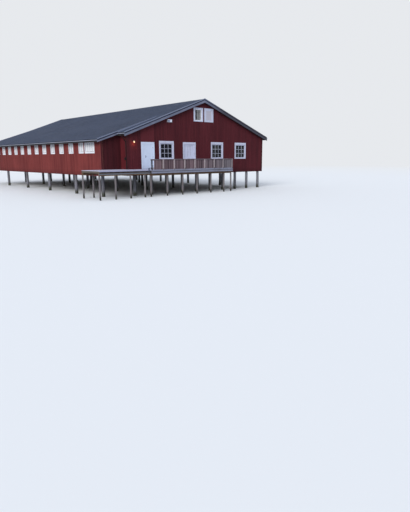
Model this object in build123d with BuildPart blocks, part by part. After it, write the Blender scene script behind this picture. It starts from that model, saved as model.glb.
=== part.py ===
from build123d import *
import os

# A timber boathouse on piles at the water's edge: a wide gabled hall with a lean-to aisle
# under the same roof slope on its left, a railed deck along its front and an open landing.
# Millimetres, +Z up. Front is -Y, right is +X. The origin is the middle of the footprint
# at the waterline, where the foot of every pile and post stands.

os.makedirs("parts", exist_ok=True)

# Driving dimensions of the hall, measured from its front left corner and its floor
front_width = 17165.0
building_depth = 30000.0
floor_height = 2317.0          # floor above the waterline
skirt_drop = 582.0             # cladding below the floor
wall_thickness = 170.0
eave_top = 3115.0              # roof's top surface over the long walls, above the floor
roof_slope = 0.368             # rise over run
roof_thickness = 240.0         # measured upright
right_overhang = 435.0
left_overhang = 357.0
gable_overhang = 305.0
loft_level = 2800.0
loft_thickness = 180.0
floor_thickness = 250.0

# Lean-to aisle
aisle_width = 1919.0
aisle_setback = 988.0
aisle_reach = 2350.0           # from the hall's left corner to the aisle's roof edge
aisle_lift = 120.0             # aisle's roof above the hall's, over the hall's left eave
aisle_flatter = 0.03           # taken off the hall's slope
aisle_beam_width = 200.0
aisle_beam_depth = 250.0
aisle_post_pitch = 4800.0

# Roof trim
board_thickness = 30.0
board_joint = 0.5              # where boards butt
bargeboard_depth = 194.0
aisle_bargeboard_depth = 130.0
bargeboard_drop = 120.0        # below the roof's top surface
flashing_rise = 60.0           # above the roof's top surface
flashing_skirt = 25.0          # below it
ridge_cap_reach = 170.0
ridge_cap_thickness = 25.0
gutter_width = 110.0
gutter_wall = 5.0
gutter_drop = 60.0             # gutter's rim below the roof's top surface at its edge
downpipe_diameter = 76.0
downpipe_sides = 12
downpipe_stand = 10.0          # clear of the corner board
clip_thickness = 4.0
clip_height = 40.0
clip_pitch = 1000.0
clip_margin = 200.0            # from the elbow and the foot to the nearest clip
corner_board_width = 120.0
corner_board_thickness = 26.0

# Piles and sill beams
pile_diameter = 310.0
log_sides = 18                 # piles are logs hewn to this many sides
pile_pitch = 1770.0            # along the front
pile_edge = 495.0              # last pile's axis from the right corner
rear_pile_pitch = 3540.0       # along the rows behind
pile_row_pitch = 5940.0
sill_beam_width = 250.0

# Front windows: outer trim, its casing boards and the sash frame inside it
window_lefts = (3349.0, 6062.0, 9596.0, 12906.0)
closed_window = 1              # the second one is boarded, and a little smaller
closed_width = 1554.0
closed_head = 2310.0
window_width = 1644.0
window_sill = 778.0
window_head = 2375.0
side_casing = 120.0
head_casing = 190.0
sill_casing = 50.0
sash_width = 80.0
sash_depth = 70.0
sash_recess = 10.0
casing_thickness = 28.0
glass_thickness = 6.0
panel_thickness = 30.0

# Loft openings in the gable
loft_offsets = (-1171.5, 155.5)    # left edges from the ridge line
loft_width = 1166.0
loft_height = 1254.0
loft_head_drop = 795.0         # below the ridge
loft_side_casing = 170.0
loft_head_casing = 150.0
loft_sill_casing = 95.0
loft_lining = 50.0
loft_glass_recess = 60.0
shutter_thickness = 22.0

# Aisle windows, high under the eave
wide_window_start = 1990.0     # from the hall's front
wide_window_width = 1740.0
narrow_window_start = 3940.0
narrow_window_width = 900.0
narrow_window_pitch = 1985.0
aisle_window_sill = 1310.0
aisle_window_head = 2300.0
aisle_casing = 75.0
aisle_sash = 45.0

# Right wall and back wall windows repeat the front ones
right_window_start = 2600.0
right_window_pitch = 4600.0
end_pier = 800.0               # wall left beyond a row's last window
back_window_lefts = (2615.0, 5925.0, 12172.0)

# Entrance door
door_left = 1432.0
door_trim_width = 1401.0
door_trim_head = 2250.0
door_casing = 150.0
jamb_thickness = 50.0
jamb_depth = 120.0
jamb_proud = 12.0              # jambs stand this far out of the wall's face
leaf_thickness = 45.0
leaf_gap = 5.0
stile_width = 90.0
bottom_rail = 90.0
field_recess = 10.0            # the boarded field lies this far behind the leaf's face
field_boards = 8
field_groove = 8.0
groove_depth = 4.0
threshold_height = 30.0
hinge_radius = 8.0
hinge_length = 100.0
hinge_plate = 30.0
running_gap = 0.3
hinge_levels = (250.0, 1000.0, 1800.0)
handle_level = 1020.0
handle_board = 1               # counted from the lock side, from 0
handle_radius = 9.0
handle_stand = 45.0
lever_length = 125.0
handle_plate_width = 44.0
handle_plate_height = 220.0
handle_plate_thickness = 8.0

# Deck along the front
deck_left = 1070.0
deck_right = 10650.0
deck_depth = 2000.0            # wall face to the outer face of the fascia
deck_step = 50.0               # deck below the floor
deck_thickness = 45.0
rail_post_width = 110.0
rail_post_depth = 60.0
rail_post_pitch = 1180.0
rail_post_count = 9
rail_top = 810.0
rail_cap_thickness = 35.0
rail_cap_width = 120.0
fascia_thickness = 40.0
fascia_board = 142.0
fascia_seam = 35.0
rail_board_thickness = 22.0
rail_board_gap = 200.0         # open space beside the end post
rail_board_drop = 30.0         # boards stop short of the cap
rail_bar_thickness = 45.0
rail_bar_depth = 95.0
rail_bar_lift = 70.0           # lower bar above the deck
joist_width = 50.0
joist_depth = 150.0
joist_pitch = 600.0
beam_depth = 310.0
beam_flange_width = 150.0
beam_flange = 14.0
beam_web = 10.0
beam_setback = 130.0           # behind the fascia
deck_post_size = 100.0
deck_post_pitch = 1710.0
ledger_depth = 200.0

# Landing left of the deck
landing_reach = 3740.0
landing_fascia_depth = 90.0
landing_sub_fascia = 95.0
landing_gap = 130.0
landing_post_pitch = 1400.0
landing_joint = 20.0           # between landing and deck

# Small fittings on the front
bollard_x = 830.0              # a square stub bolted on the landing's fascia
bollard_width = 110.0
bollard_depth = 50.0
bollard_height = 145.0         # above the deck
bollard_foot = 150.0           # below the deck
bollard_cap_width = 130.0
bollard_cap = 35.0
lamp_x = 670.0
lamp_level = 2310.0            # underside of the lantern's roof
lamp_size = 150.0              # across the lantern
lamp_height = 150.0
lamp_roof = 60.0
lamp_lip = 12.0
lamp_foot = 100.0              # across the lantern's narrow foot
lamp_peak = 40.0               # across the top of its roof
lamp_sides = 6
lamp_stand = 60.0              # from the wall to the lantern
lamp_arm = 30.0
light_box_left = 4300.0
light_box_width = 460.0
light_box_sill = 4015.0
light_box_height = 235.0
light_box_depth = 130.0
light_box_frame = 25.0
light_box_recess = 20.0
meter_box_y = 280.0
meter_box_level = 750.0
meter_box_width = 160.0
meter_box_height = 200.0
meter_box_depth = 70.0

# Places in the part's frame
right_reach = right_overhang + gutter_width
left_reach = max(landing_reach, aisle_reach + gutter_width)
left_x = -(left_reach + front_width + right_reach) / 2 + left_reach
right_x = left_x + front_width
ridge_x = left_x + front_width / 2
front_y = -(deck_depth + building_depth + gable_overhang) / 2 + deck_depth
back_y = front_y + building_depth
inner_front = front_y + wall_thickness
inner_back = back_y - wall_thickness
floor_z = floor_height
skirt_z = floor_z - skirt_drop
ridge_z = floor_z + eave_top + roof_slope * front_width / 2
aisle_x = left_x - aisle_width
aisle_front = front_y + aisle_setback
deck_z = floor_z - deck_step
left_eave_x = left_x - left_overhang
right_eave_x = right_x + right_overhang
aisle_eave_x = left_x - aisle_reach
meet_x = left_eave_x + aisle_lift / aisle_flatter      # where both roofs are level


def hall_top(x):
    return ridge_z - roof_slope * abs(x - ridge_x)


def aisle_top(x):
    # the aisle's roof is laid over the hall's and runs out flatter than it
    over_eave = hall_top(left_eave_x) + aisle_lift
    return over_eave - (roof_slope - aisle_flatter) * (left_eave_x - x)


def roof_top(x):
    return aisle_top(x) if x < left_eave_x else hall_top(x)


def soffit(x):
    return roof_top(x) - roof_thickness


def block(x0, x1, y0, y1, z0, z1):
    with Locations(((x0 + x1) / 2, (y0 + y1) / 2, (z0 + z1) / 2)):
        Box(x1 - x0, y1 - y0, z1 - z0)


def facing_front(y):
    # plane across the building at y, local X and Y along +X and +Z, normal towards -Y
    return Plane.XZ.offset(-y)


def facing_right(x):
    # plane along the building at x, local X and Y along +Y and +Z, normal towards +X
    return Plane.YZ.offset(x)


def cross_slab(outline, y0, y1, holes=()):
    # an upright slab across the building from y0 to y1, with rectangular holes
    with BuildSketch(facing_front(y1)) as face:
        with BuildLine():
            Polyline(*outline, close=True)
        make_face()
        for u0, u1, v0, v1 in holes:
            with Locations(((u0 + u1) / 2, (v0 + v1) / 2)):
                Rectangle(u1 - u0, v1 - v0, mode=Mode.SUBTRACT)
    extrude(face.sketch, amount=y1 - y0)


def long_slab(outline, x0, x1, holes=()):
    # an upright slab along the building from x0 to x1, with rectangular holes
    with BuildSketch(facing_right(x0)) as face:
        with BuildLine():
            Polyline(*outline, close=True)
        make_face()
        for u0, u1, v0, v1 in holes:
            with Locations(((u0 + u1) / 2, (v0 + v1) / 2)):
                Rectangle(u1 - u0, v1 - v0, mode=Mode.SUBTRACT)
    extrude(face.sketch, amount=x1 - x0)


def ring(plane, trim, hole, depth):
    # a rectangular frame between two boxes (left, right, bottom, top) on the plane
    with BuildSketch(plane) as face:
        with Locations(((trim[0] + trim[1]) / 2, (trim[2] + trim[3]) / 2)):
            Rectangle(trim[1] - trim[0], trim[3] - trim[2])
        with Locations(((hole[0] + hole[1]) / 2, (hole[2] + hole[3]) / 2)):
            Rectangle(hole[1] - hole[0], hole[3] - hole[2], mode=Mode.SUBTRACT)
    extrude(face.sketch, amount=depth)


def pane(plane, box, depth, mode=Mode.ADD):
    with BuildSketch(plane) as face:
        with Locations(((box[0] + box[1]) / 2, (box[2] + box[3]) / 2)):
            Rectangle(box[1] - box[0], box[3] - box[2])
    extrude(face.sketch, amount=depth, mode=mode)


def inset(box, side, bottom, top):
    return (box[0] + side, box[1] - side, box[2] + bottom, box[3] - top)


def keep(piece, name):
    piece.part.label = name
    export_step(piece.part, f"parts/{name}.step")


def fitting(start, pitch, width):
    # how many windows of a row fit along the building
    return int((building_depth - end_pier - start - width) // pitch) + 1


# Window boxes as (left, right, bottom, top) of the outer trim on their wall
front_trims = [
    (left_x + u, left_x + u + window_width, floor_z + window_sill, floor_z + window_head)
    for u in window_lefts
]
closed_left = left_x + window_lefts[closed_window]
front_trims[closed_window] = (
    closed_left,
    closed_left + closed_width,
    floor_z + window_sill,
    floor_z + closed_head,
)
back_trims = [
    (left_x + u, left_x + u + window_width, floor_z + window_sill, floor_z + window_head)
    for u in back_window_lefts
]
right_trims = [
    (
        front_y + right_window_start + n * right_window_pitch,
        front_y + right_window_start + n * right_window_pitch + window_width,
        floor_z + window_sill,
        floor_z + window_head,
    )
    for n in range(fitting(right_window_start, right_window_pitch, window_width))
]
loft_head_z = ridge_z - loft_head_drop
loft_trims = [
    (ridge_x + u, ridge_x + u + loft_width, loft_head_z - loft_height, loft_head_z)
    for u in loft_offsets
]
aisle_trims = [
    (
        front_y + wide_window_start,
        front_y + wide_window_start + wide_window_width,
        floor_z + aisle_window_sill,
        floor_z + aisle_window_head,
    )
] + [
    (
        front_y + narrow_window_start + n * narrow_window_pitch,
        front_y + narrow_window_start + n * narrow_window_pitch + narrow_window_width,
        floor_z + aisle_window_sill,
        floor_z + aisle_window_head,
    )
    for n in range(fitting(narrow_window_start, narrow_window_pitch, narrow_window_width))
]


def window_hole(trim):
    return inset(trim, side_casing, sill_casing, head_casing)


def window_light(trim):
    return inset(window_hole(trim), sash_width, sash_width, sash_width)


def loft_hole(trim):
    return inset(trim, loft_side_casing, loft_sill_casing, loft_head_casing)


def loft_light(trim):
    return inset(loft_hole(trim), loft_lining, loft_lining, loft_lining)


def aisle_hole(trim):
    return inset(trim, aisle_casing, aisle_casing, aisle_casing)


def aisle_light(trim):
    return inset(aisle_hole(trim), aisle_sash, aisle_sash, aisle_sash)


# Door opening in the front wall, its frame and the leaf
opening_left = left_x + door_left + door_casing
opening_right = left_x + door_left + door_trim_width - door_casing
opening_head = floor_z + door_trim_head - door_casing
leaf_left = opening_left + jamb_thickness + leaf_gap
leaf_right = opening_right - jamb_thickness - leaf_gap
leaf_bottom = floor_z + threshold_height + leaf_gap
leaf_head = opening_head - jamb_thickness - leaf_gap
leaf_face = front_y - jamb_proud

# Walls
plate_z = min(soffit(left_x), soffit(right_x))

with BuildPart() as front_wall_left:
    block(left_x, opening_left, front_y, inner_front, skirt_z, plate_z)
keep(front_wall_left, "front_wall_left")

with BuildPart() as front_wall_over_door:
    block(opening_left, opening_right, front_y, inner_front, opening_head, plate_z)
keep(front_wall_over_door, "front_wall_over_door")

with BuildPart() as front_wall_under_door:
    block(opening_left, opening_right, front_y, inner_front, skirt_z, floor_z)
keep(front_wall_under_door, "front_wall_under_door")

with BuildPart() as front_wall_right:
    cross_slab(
        (
            (opening_right, skirt_z),
            (right_x, skirt_z),
            (right_x, plate_z),
            (opening_right, plate_z),
        ),
        front_y,
        inner_front,
        [window_hole(trim) for trim in front_trims],
    )
keep(front_wall_right, "front_wall_right")

gable_outline = (
    (left_x, plate_z),
    (right_x, plate_z),
    (ridge_x, soffit(ridge_x)),
)

with BuildPart() as front_gable:
    cross_slab(gable_outline, front_y, inner_front, [loft_hole(trim) for trim in loft_trims])
keep(front_gable, "front_gable")

with BuildPart() as back_gable:
    cross_slab(gable_outline, inner_back, back_y, [loft_hole(trim) for trim in loft_trims])
keep(back_gable, "back_gable")

with BuildPart() as back_wall:
    cross_slab(
        ((left_x, skirt_z), (right_x, skirt_z), (right_x, plate_z), (left_x, plate_z)),
        inner_back,
        back_y,
        [window_hole(trim) for trim in back_trims],
    )
keep(back_wall, "back_wall")

with BuildPart() as right_wall:
    long_slab(
        (
            (inner_front, skirt_z),
            (inner_back, skirt_z),
            (inner_back, plate_z),
            (inner_front, plate_z),
        ),
        right_x - wall_thickness,
        right_x,
        [window_hole(trim) for trim in right_trims],
    )
keep(right_wall, "right_wall")

with BuildPart() as left_wall_front:
    block(left_x, left_x + wall_thickness, inner_front, aisle_front, skirt_z, plate_z)
keep(left_wall_front, "left_wall_front")

with BuildPart() as aisle_side_wall:
    long_slab(
        (
            (aisle_front, skirt_z),
            (back_y, skirt_z),
            (back_y, soffit(aisle_x)),
            (aisle_front, soffit(aisle_x)),
        ),
        aisle_x,
        aisle_x + wall_thickness,
        [aisle_hole(trim) for trim in aisle_trims],
    )
keep(aisle_side_wall, "aisle_side_wall")

aisle_inner_x = aisle_x + wall_thickness
aisle_end_outline = (
    (aisle_inner_x, skirt_z),
    (left_x, skirt_z),
    (left_x, soffit(left_x)),
    (left_eave_x, soffit(left_eave_x)),
    (left_eave_x, aisle_top(left_eave_x) - roof_thickness),
    (aisle_inner_x, soffit(aisle_inner_x)),
)

with BuildPart() as aisle_front_wall:
    cross_slab(aisle_end_outline, aisle_front, aisle_front + wall_thickness)
keep(aisle_front_wall, "aisle_front_wall")

with BuildPart() as aisle_back_wall:
    cross_slab(aisle_end_outline, inner_back, back_y)
keep(aisle_back_wall, "aisle_back_wall")

def corner_pair(x, inward, y, outward, foot):
    # two boards that lap at a corner: one on the end wall, one on the side wall
    board = corner_board_thickness
    outer_x = x - inward * board
    outer_y = y + outward * board
    across = sorted((x, x + inward * corner_board_width))
    block(*across, *sorted((y, outer_y)), foot, soffit(x))
    along = sorted((outer_y, outer_y - outward * corner_board_width))
    block(*sorted((x, outer_x)), *along, foot, soffit(outer_x))


with BuildPart() as corner_boards:
    corner_pair(right_x, -1, front_y, -1, skirt_z)
    corner_pair(right_x, -1, back_y, 1, skirt_z)
    corner_pair(left_x, 1, front_y, -1, deck_z)
    corner_pair(aisle_x, 1, aisle_front, -1, deck_z)
    corner_pair(aisle_x, 1, back_y, 1, skirt_z)
keep(corner_boards, "corner_boards")

# Floors and the frame that carries them
floor_under = floor_z - floor_thickness

with BuildPart() as floor:
    with BuildSketch(Plane.XY.offset(floor_under)):
        with BuildLine():
            Polyline(
                (left_x + wall_thickness, inner_front),
                (right_x - wall_thickness, inner_front),
                (right_x - wall_thickness, inner_back),
                (aisle_inner_x, inner_back),
                (aisle_inner_x, aisle_front + wall_thickness),
                (left_x + wall_thickness, aisle_front + wall_thickness),
                close=True,
            )
        make_face()
    extrude(amount=floor_thickness)
keep(floor, "floor")

loft_z = floor_z + loft_level
loft_under = loft_z - loft_thickness

with BuildPart() as loft_floor:
    block(
        left_x,
        right_x - wall_thickness,
        aisle_front + wall_thickness,
        inner_back,
        loft_under,
        loft_z,
    )
    block(
        left_x + wall_thickness,
        right_x - wall_thickness,
        inner_front,
        aisle_front + wall_thickness,
        loft_under,
        loft_z,
    )
keep(loft_floor, "loft_floor")

aisle_clear_depth = inner_back - aisle_front - wall_thickness
aisle_post_count = max(1, round(aisle_clear_depth / aisle_post_pitch) - 1)

aisle_post_step = aisle_clear_depth / (aisle_post_count + 1)
aisle_beam_under = loft_under - aisle_beam_depth

with BuildPart() as aisle_beam:
    block(
        left_x,
        left_x + aisle_beam_width,
        aisle_front + wall_thickness,
        inner_back,
        aisle_beam_under,
        loft_under,
    )
keep(aisle_beam, "aisle_beam")

with BuildPart() as aisle_posts:
    half = aisle_beam_width / 2
    for n in range(aisle_post_count):
        y = aisle_front + wall_thickness + (n + 1) * aisle_post_step
        block(left_x, left_x + aisle_beam_width, y - half, y + half, floor_z, aisle_beam_under)
keep(aisle_posts, "aisle_posts")

# Piles stand in rows across the building, a sill beam on each row
front_pile_y = front_y + pile_diameter / 2
rear_pile_y = back_y - pile_diameter / 2
row_count = max(2, round((rear_pile_y - front_pile_y) / pile_row_pitch) + 1)
row_step = (rear_pile_y - front_pile_y) / (row_count - 1)
pile_row_ys = [front_pile_y + n * row_step for n in range(row_count)]
front_pile_count = int((front_width - pile_edge) // pile_pitch) + 1
front_pile_xs = [right_x - pile_edge - n * pile_pitch for n in range(front_pile_count)]
rear_pile_count = int((front_width - pile_edge) // rear_pile_pitch) + 1
rear_pile_xs = [right_x - pile_edge - n * rear_pile_pitch for n in range(rear_pile_count)]
aisle_pile_x = aisle_x + pile_diameter / 2

with BuildPart() as piles:
    places = [(x, front_pile_y) for x in front_pile_xs]
    places += [(x, y) for y in pile_row_ys[1:] for x in rear_pile_xs + [aisle_pile_x]]
    places.append((aisle_pile_x, aisle_front + pile_diameter / 2))
    with BuildSketch():
        with Locations(*places):
            RegularPolygon(pile_diameter / 2, log_sides)
    extrude(amount=skirt_z)
keep(piles, "piles")

with BuildPart() as sill_beams:
    for n, y in enumerate(pile_row_ys):
        start = left_x + wall_thickness if n == 0 else aisle_inner_x
        near = max(y - sill_beam_width / 2, inner_front)
        far = min(near + sill_beam_width, inner_back)
        near = far - sill_beam_width
        block(start, right_x - wall_thickness, near, far, skirt_z, floor_under)
keep(sill_beams, "sill_beams")

# Roof
verge_front = front_y - gable_overhang
verge_back = back_y + gable_overhang
roof_front = verge_front + board_thickness
roof_back = verge_back - board_thickness
aisle_verge = aisle_front - gable_overhang
aisle_roof_front = aisle_verge + board_thickness


def slope_outline(x0, x1):
    return (
        (x0, roof_top(x0)),
        (x1, roof_top(x1)),
        (x1, soffit(x1)),
        (x0, soffit(x0)),
    )


with BuildPart() as roof_left:
    cross_slab(slope_outline(left_eave_x, ridge_x), roof_front, roof_back)
keep(roof_left, "roof_left")

with BuildPart() as roof_right:
    cross_slab(slope_outline(ridge_x, right_eave_x), roof_front, roof_back)
keep(roof_right, "roof_right")

with BuildPart() as aisle_roof:
    cross_slab(
        (
            (aisle_eave_x, aisle_top(aisle_eave_x)),
            (meet_x, hall_top(meet_x)),
            (left_eave_x, hall_top(left_eave_x)),
            (left_eave_x, aisle_top(left_eave_x) - roof_thickness),
            (aisle_eave_x, soffit(aisle_eave_x)),
        ),
        aisle_roof_front,
        roof_back,
    )
keep(aisle_roof, "aisle_roof")

with BuildPart() as ridge_cap:
    cross_slab(
        (
            (ridge_x - ridge_cap_reach, roof_top(ridge_x - ridge_cap_reach)),
            (ridge_x, ridge_z),
            (ridge_x + ridge_cap_reach, roof_top(ridge_x + ridge_cap_reach)),
            (
                ridge_x + ridge_cap_reach,
                roof_top(ridge_x + ridge_cap_reach) + ridge_cap_thickness,
            ),
            (ridge_x, ridge_z + ridge_cap_thickness),
            (
                ridge_x - ridge_cap_reach,
                roof_top(ridge_x - ridge_cap_reach) + ridge_cap_thickness,
            ),
        ),
        roof_front,
        roof_back,
    )
keep(ridge_cap, "ridge_cap")


half_joint = board_joint / 2       # a plumb joint under the ridge
left_end = (ridge_x - half_joint, hall_top(ridge_x - half_joint))
right_end = (ridge_x + half_joint, hall_top(ridge_x + half_joint))
meeting = (meet_x, hall_top(meet_x))
aisle_edge = (aisle_eave_x, aisle_top(aisle_eave_x))
front_line = ((left_eave_x, hall_top(left_eave_x)), left_end)
back_line = (aisle_edge, meeting, left_end)
right_line = (right_end, (right_eave_x, hall_top(right_eave_x)))
aisle_line = (aisle_edge, (left_eave_x, aisle_top(left_eave_x)))


def band(line, high, low):
    # outline between two heights over a line along the roof's top
    return [(x, z + high) for x, z in line] + [(x, z + low) for x, z in reversed(line)]


def verge_boards(line, y0, depth):
    outline = band(line, -bargeboard_drop, -bargeboard_drop - depth)
    cross_slab(outline, y0, y0 + board_thickness)


with BuildPart() as bargeboards:
    verge_boards(front_line, verge_front, bargeboard_depth)
    verge_boards(right_line, verge_front, bargeboard_depth)
    verge_boards(back_line, roof_back, bargeboard_depth)
    verge_boards(right_line, roof_back, bargeboard_depth)
    verge_boards(aisle_line, aisle_verge, aisle_bargeboard_depth)
keep(bargeboards, "bargeboards")

with BuildPart() as verge_flashings:
    for line, y0 in (
        (front_line, verge_front),
        (right_line, verge_front),
        (back_line, roof_back),
        (right_line, roof_back),
        (aisle_line, aisle_verge),
    ):
        cross_slab(band(line, flashing_rise, -flashing_skirt), y0, y0 + board_thickness)
    # the aisle's verge runs on up the hall's roof until the two are level
    cross_slab(
        (
            (left_eave_x, hall_top(left_eave_x)),
            (left_eave_x, aisle_top(left_eave_x) + flashing_rise),
            (meet_x, hall_top(meet_x) + flashing_rise),
            meeting,
        ),
        aisle_verge,
        aisle_roof_front,
    )
keep(verge_flashings, "verge_flashings")

# Gutters: half-round channels hung on the eaves
gutter_radius = gutter_width / 2


def gutter(eave_x, side, y0, y1):
    centre_x = eave_x + side * gutter_radius
    rim_z = roof_top(eave_x) - gutter_drop
    inner = gutter_radius - gutter_wall
    with BuildSketch(facing_front(y1)) as face:
        with Locations((centre_x, rim_z)):
            Circle(gutter_radius)
            Circle(inner, mode=Mode.SUBTRACT)
        with Locations((centre_x, rim_z + gutter_radius)):
            Rectangle(2 * gutter_width, gutter_width, mode=Mode.SUBTRACT)
    extrude(face.sketch, amount=y1 - y0)
    for end in (y0 + gutter_wall, y1):
        with BuildSketch(facing_front(end)) as stop_end:
            with Locations((centre_x, rim_z)):
                Circle(gutter_radius)
            with Locations((centre_x, rim_z + gutter_radius)):
                Rectangle(2 * gutter_width, gutter_width, mode=Mode.SUBTRACT)
        extrude(stop_end.sketch, amount=gutter_wall)


with BuildPart() as gutters:
    gutter(left_eave_x, -1, verge_front, aisle_verge)
    gutter(aisle_eave_x, -1, aisle_verge, verge_back)
    gutter(right_eave_x, 1, verge_front, verge_back)
keep(gutters, "gutters")


def downpipe(eave_x, side, wall_x, y, foot_z):
    # from the gutter's underside back to the wall corner and down, clipped to the wall
    radius = downpipe_diameter / 2
    top = Vector(
        eave_x + side * gutter_radius,
        y,
        roof_top(eave_x) - gutter_drop - gutter_radius,
    )
    board_x = wall_x + side * corner_board_thickness
    pipe_x = board_x + side * (radius + downpipe_stand)
    elbow_drop = abs(top.X - pipe_x) + 2 * radius
    knee = Vector(top.X, y, soffit(eave_x) - 2 * radius)
    elbow = Vector(pipe_x, y, knee.Z - elbow_drop)
    foot = Vector(pipe_x, y, foot_z)
    with BuildLine() as route:
        FilletPolyline(top, knee, elbow, foot, radius=downpipe_diameter)
    with BuildSketch(Plane(origin=top, z_dir=(0, 0, -1))) as section:
        RegularPolygon(radius, downpipe_sides)
    sweep(section.sketch, path=route.line)
    clip_reach = elbow.Z - foot_z - 2 * clip_margin
    for n in range(int(clip_reach // clip_pitch) + 1):
        z = foot_z + clip_margin + n * clip_pitch
        with BuildSketch(Plane.XY.offset(z)) as clip:
            with Locations((pipe_x, y)):
                RegularPolygon(radius + clip_thickness, downpipe_sides)
        extrude(clip.sketch, amount=clip_height)
        arm = sorted((board_x, pipe_x))
        block(*arm, y - clip_thickness, y + clip_thickness, z, z + clip_height)


with BuildPart() as downpipes:
    downpipe(left_eave_x, -1, left_x, front_y + downpipe_diameter / 2, deck_z)
    downpipe(aisle_eave_x, -1, aisle_x, back_y - downpipe_diameter / 2, skirt_z)
    downpipe(right_eave_x, 1, right_x, back_y - downpipe_diameter / 2, skirt_z)
keep(downpipes, "downpipes")

# Windows
casing_face = front_y - casing_thickness
sash_back = front_y + sash_recess + sash_depth
glass_back = front_y + sash_recess + (sash_depth + glass_thickness) / 2
back_sash_back = back_y - sash_recess

with BuildPart() as front_casings:
    for trim in front_trims:
        ring(facing_front(front_y), trim, window_hole(trim), casing_thickness)
    for trim in loft_trims:
        ring(facing_front(front_y), trim, loft_hole(trim), casing_thickness)
keep(front_casings, "front_casings")

with BuildPart() as front_sashes:
    for trim in front_trims:
        ring(facing_front(sash_back), window_hole(trim), window_light(trim), sash_depth)
keep(front_sashes, "front_sashes")

with BuildPart() as loft_linings:
    for trim in loft_trims:
        ring(facing_front(inner_front), loft_hole(trim), loft_light(trim), wall_thickness)
keep(loft_linings, "loft_linings")

with BuildPart() as front_glass:
    for n, trim in enumerate(front_trims):
        if n != closed_window:
            pane(facing_front(glass_back), window_light(trim), glass_thickness)
    loft_glass_back = front_y + loft_glass_recess + glass_thickness
    pane(facing_front(loft_glass_back), loft_light(loft_trims[0]), glass_thickness)
keep(front_glass, "front_glass")

with BuildPart() as closed_panels:
    panel_back = front_y + sash_recess + (sash_depth + panel_thickness) / 2
    closed_trim = front_trims[closed_window]
    pane(facing_front(panel_back), window_light(closed_trim), panel_thickness)
    shutter = inset(loft_hole(loft_trims[1]), board_joint, board_joint, board_joint)
    pane(facing_front(front_y), shutter, shutter_thickness)
keep(closed_panels, "closed_panels")

with BuildPart() as side_casings:
    for trim in aisle_trims:
        ring(
            facing_right(aisle_x - casing_thickness), trim, aisle_hole(trim), casing_thickness
        )
    for trim in right_trims:
        ring(facing_right(right_x), trim, window_hole(trim), casing_thickness)
    for trim in back_trims:
        ring(
            facing_front(back_y + casing_thickness), trim, window_hole(trim), casing_thickness
        )
    for trim in loft_trims:
        ring(
            facing_front(back_y + casing_thickness), trim, loft_hole(trim), casing_thickness
        )
keep(side_casings, "side_casings")

with BuildPart() as side_sashes:
    for trim in aisle_trims:
        ring(
            facing_right(aisle_x + sash_recess), aisle_hole(trim), aisle_light(trim), sash_depth
        )
    for trim in right_trims:
        ring(
            facing_right(right_x - sash_recess - sash_depth),
            window_hole(trim),
            window_light(trim),
            sash_depth,
        )
    for trim in back_trims:
        ring(facing_front(back_sash_back), window_hole(trim), window_light(trim), sash_depth)
    for trim in loft_trims:
        ring(facing_front(back_sash_back), loft_hole(trim), loft_light(trim), sash_depth)
keep(side_sashes, "side_sashes")

with BuildPart() as side_glass:
    middle = sash_recess + (sash_depth - glass_thickness) / 2
    for trim in aisle_trims:
        pane(facing_right(aisle_x + middle), aisle_light(trim), glass_thickness)
    for trim in right_trims:
        pane(
            facing_right(right_x - middle - glass_thickness),
            window_light(trim),
            glass_thickness,
        )
    for trim in back_trims:
        pane(facing_front(back_y - middle), window_light(trim), glass_thickness)
    for trim in loft_trims:
        pane(facing_front(back_y - middle), loft_light(trim), glass_thickness)
keep(side_glass, "side_glass")

# Entrance door
with BuildPart() as door_frame:
    trim_left = left_x + door_left
    trim_right = trim_left + door_trim_width
    trim_head = floor_z + door_trim_head
    for side_left, side_right in (
        (trim_left, opening_left),
        (opening_right, trim_right),
    ):
        block(side_left, side_right, casing_face, front_y, deck_z, trim_head)
    block(opening_left, opening_right, casing_face, front_y, opening_head, trim_head)
    jamb_back = leaf_face + jamb_depth
    block(
        opening_left, opening_left + jamb_thickness, leaf_face, jamb_back, floor_z, opening_head
    )
    block(
        opening_right - jamb_thickness, opening_right, leaf_face, jamb_back, floor_z, opening_head
    )
    block(
        opening_left,
        opening_right,
        leaf_face,
        jamb_back,
        opening_head - jamb_thickness,
        opening_head,
    )
    block(
        opening_left,
        opening_right,
        leaf_face,
        jamb_back,
        floor_z,
        floor_z + threshold_height,
    )
keep(door_frame, "door_frame")

hinge_x = leaf_right + leaf_gap
hinge_y = leaf_face - hinge_radius - running_gap


def hinge_half(level, side, low, high):
    # one knuckle with its plate, side 1 on the jamb and -1 on the leaf
    bottom = floor_z + level + low
    height = high - low
    with Locations((hinge_x, hinge_y, bottom + height / 2)):
        Cylinder(hinge_radius, height)
    plate = sorted((hinge_x, hinge_x + side * hinge_plate))
    block(*plate, leaf_face - hinge_radius / 2, leaf_face, bottom, bottom + height)


with BuildPart() as door_hinges:
    for level in hinge_levels:
        hinge_half(level, 1, -hinge_length / 2, 0)
keep(door_hinges, "door_hinges")

with BuildPart() as entrance_door:
    block(leaf_left, leaf_right, leaf_face, leaf_face + leaf_thickness, leaf_bottom, leaf_head)
    leaf = (leaf_left, leaf_right, leaf_bottom, leaf_head)
    field = inset(leaf, stile_width, bottom_rail, stile_width)
    field_face = leaf_face + field_recess
    pane(facing_front(field_face), field, field_recess, Mode.SUBTRACT)
    board_width = (field[1] - field[0]) / field_boards
    for n in range(1, field_boards):
        x = field[0] + n * board_width
        groove = (x - field_groove / 2, x + field_groove / 2, field[2], field[3])
        pane(facing_front(field_face + groove_depth), groove, groove_depth, Mode.SUBTRACT)
    for level in hinge_levels:
        hinge_half(level, -1, running_gap, hinge_length / 2)
keep(entrance_door, "entrance_door")

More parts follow.
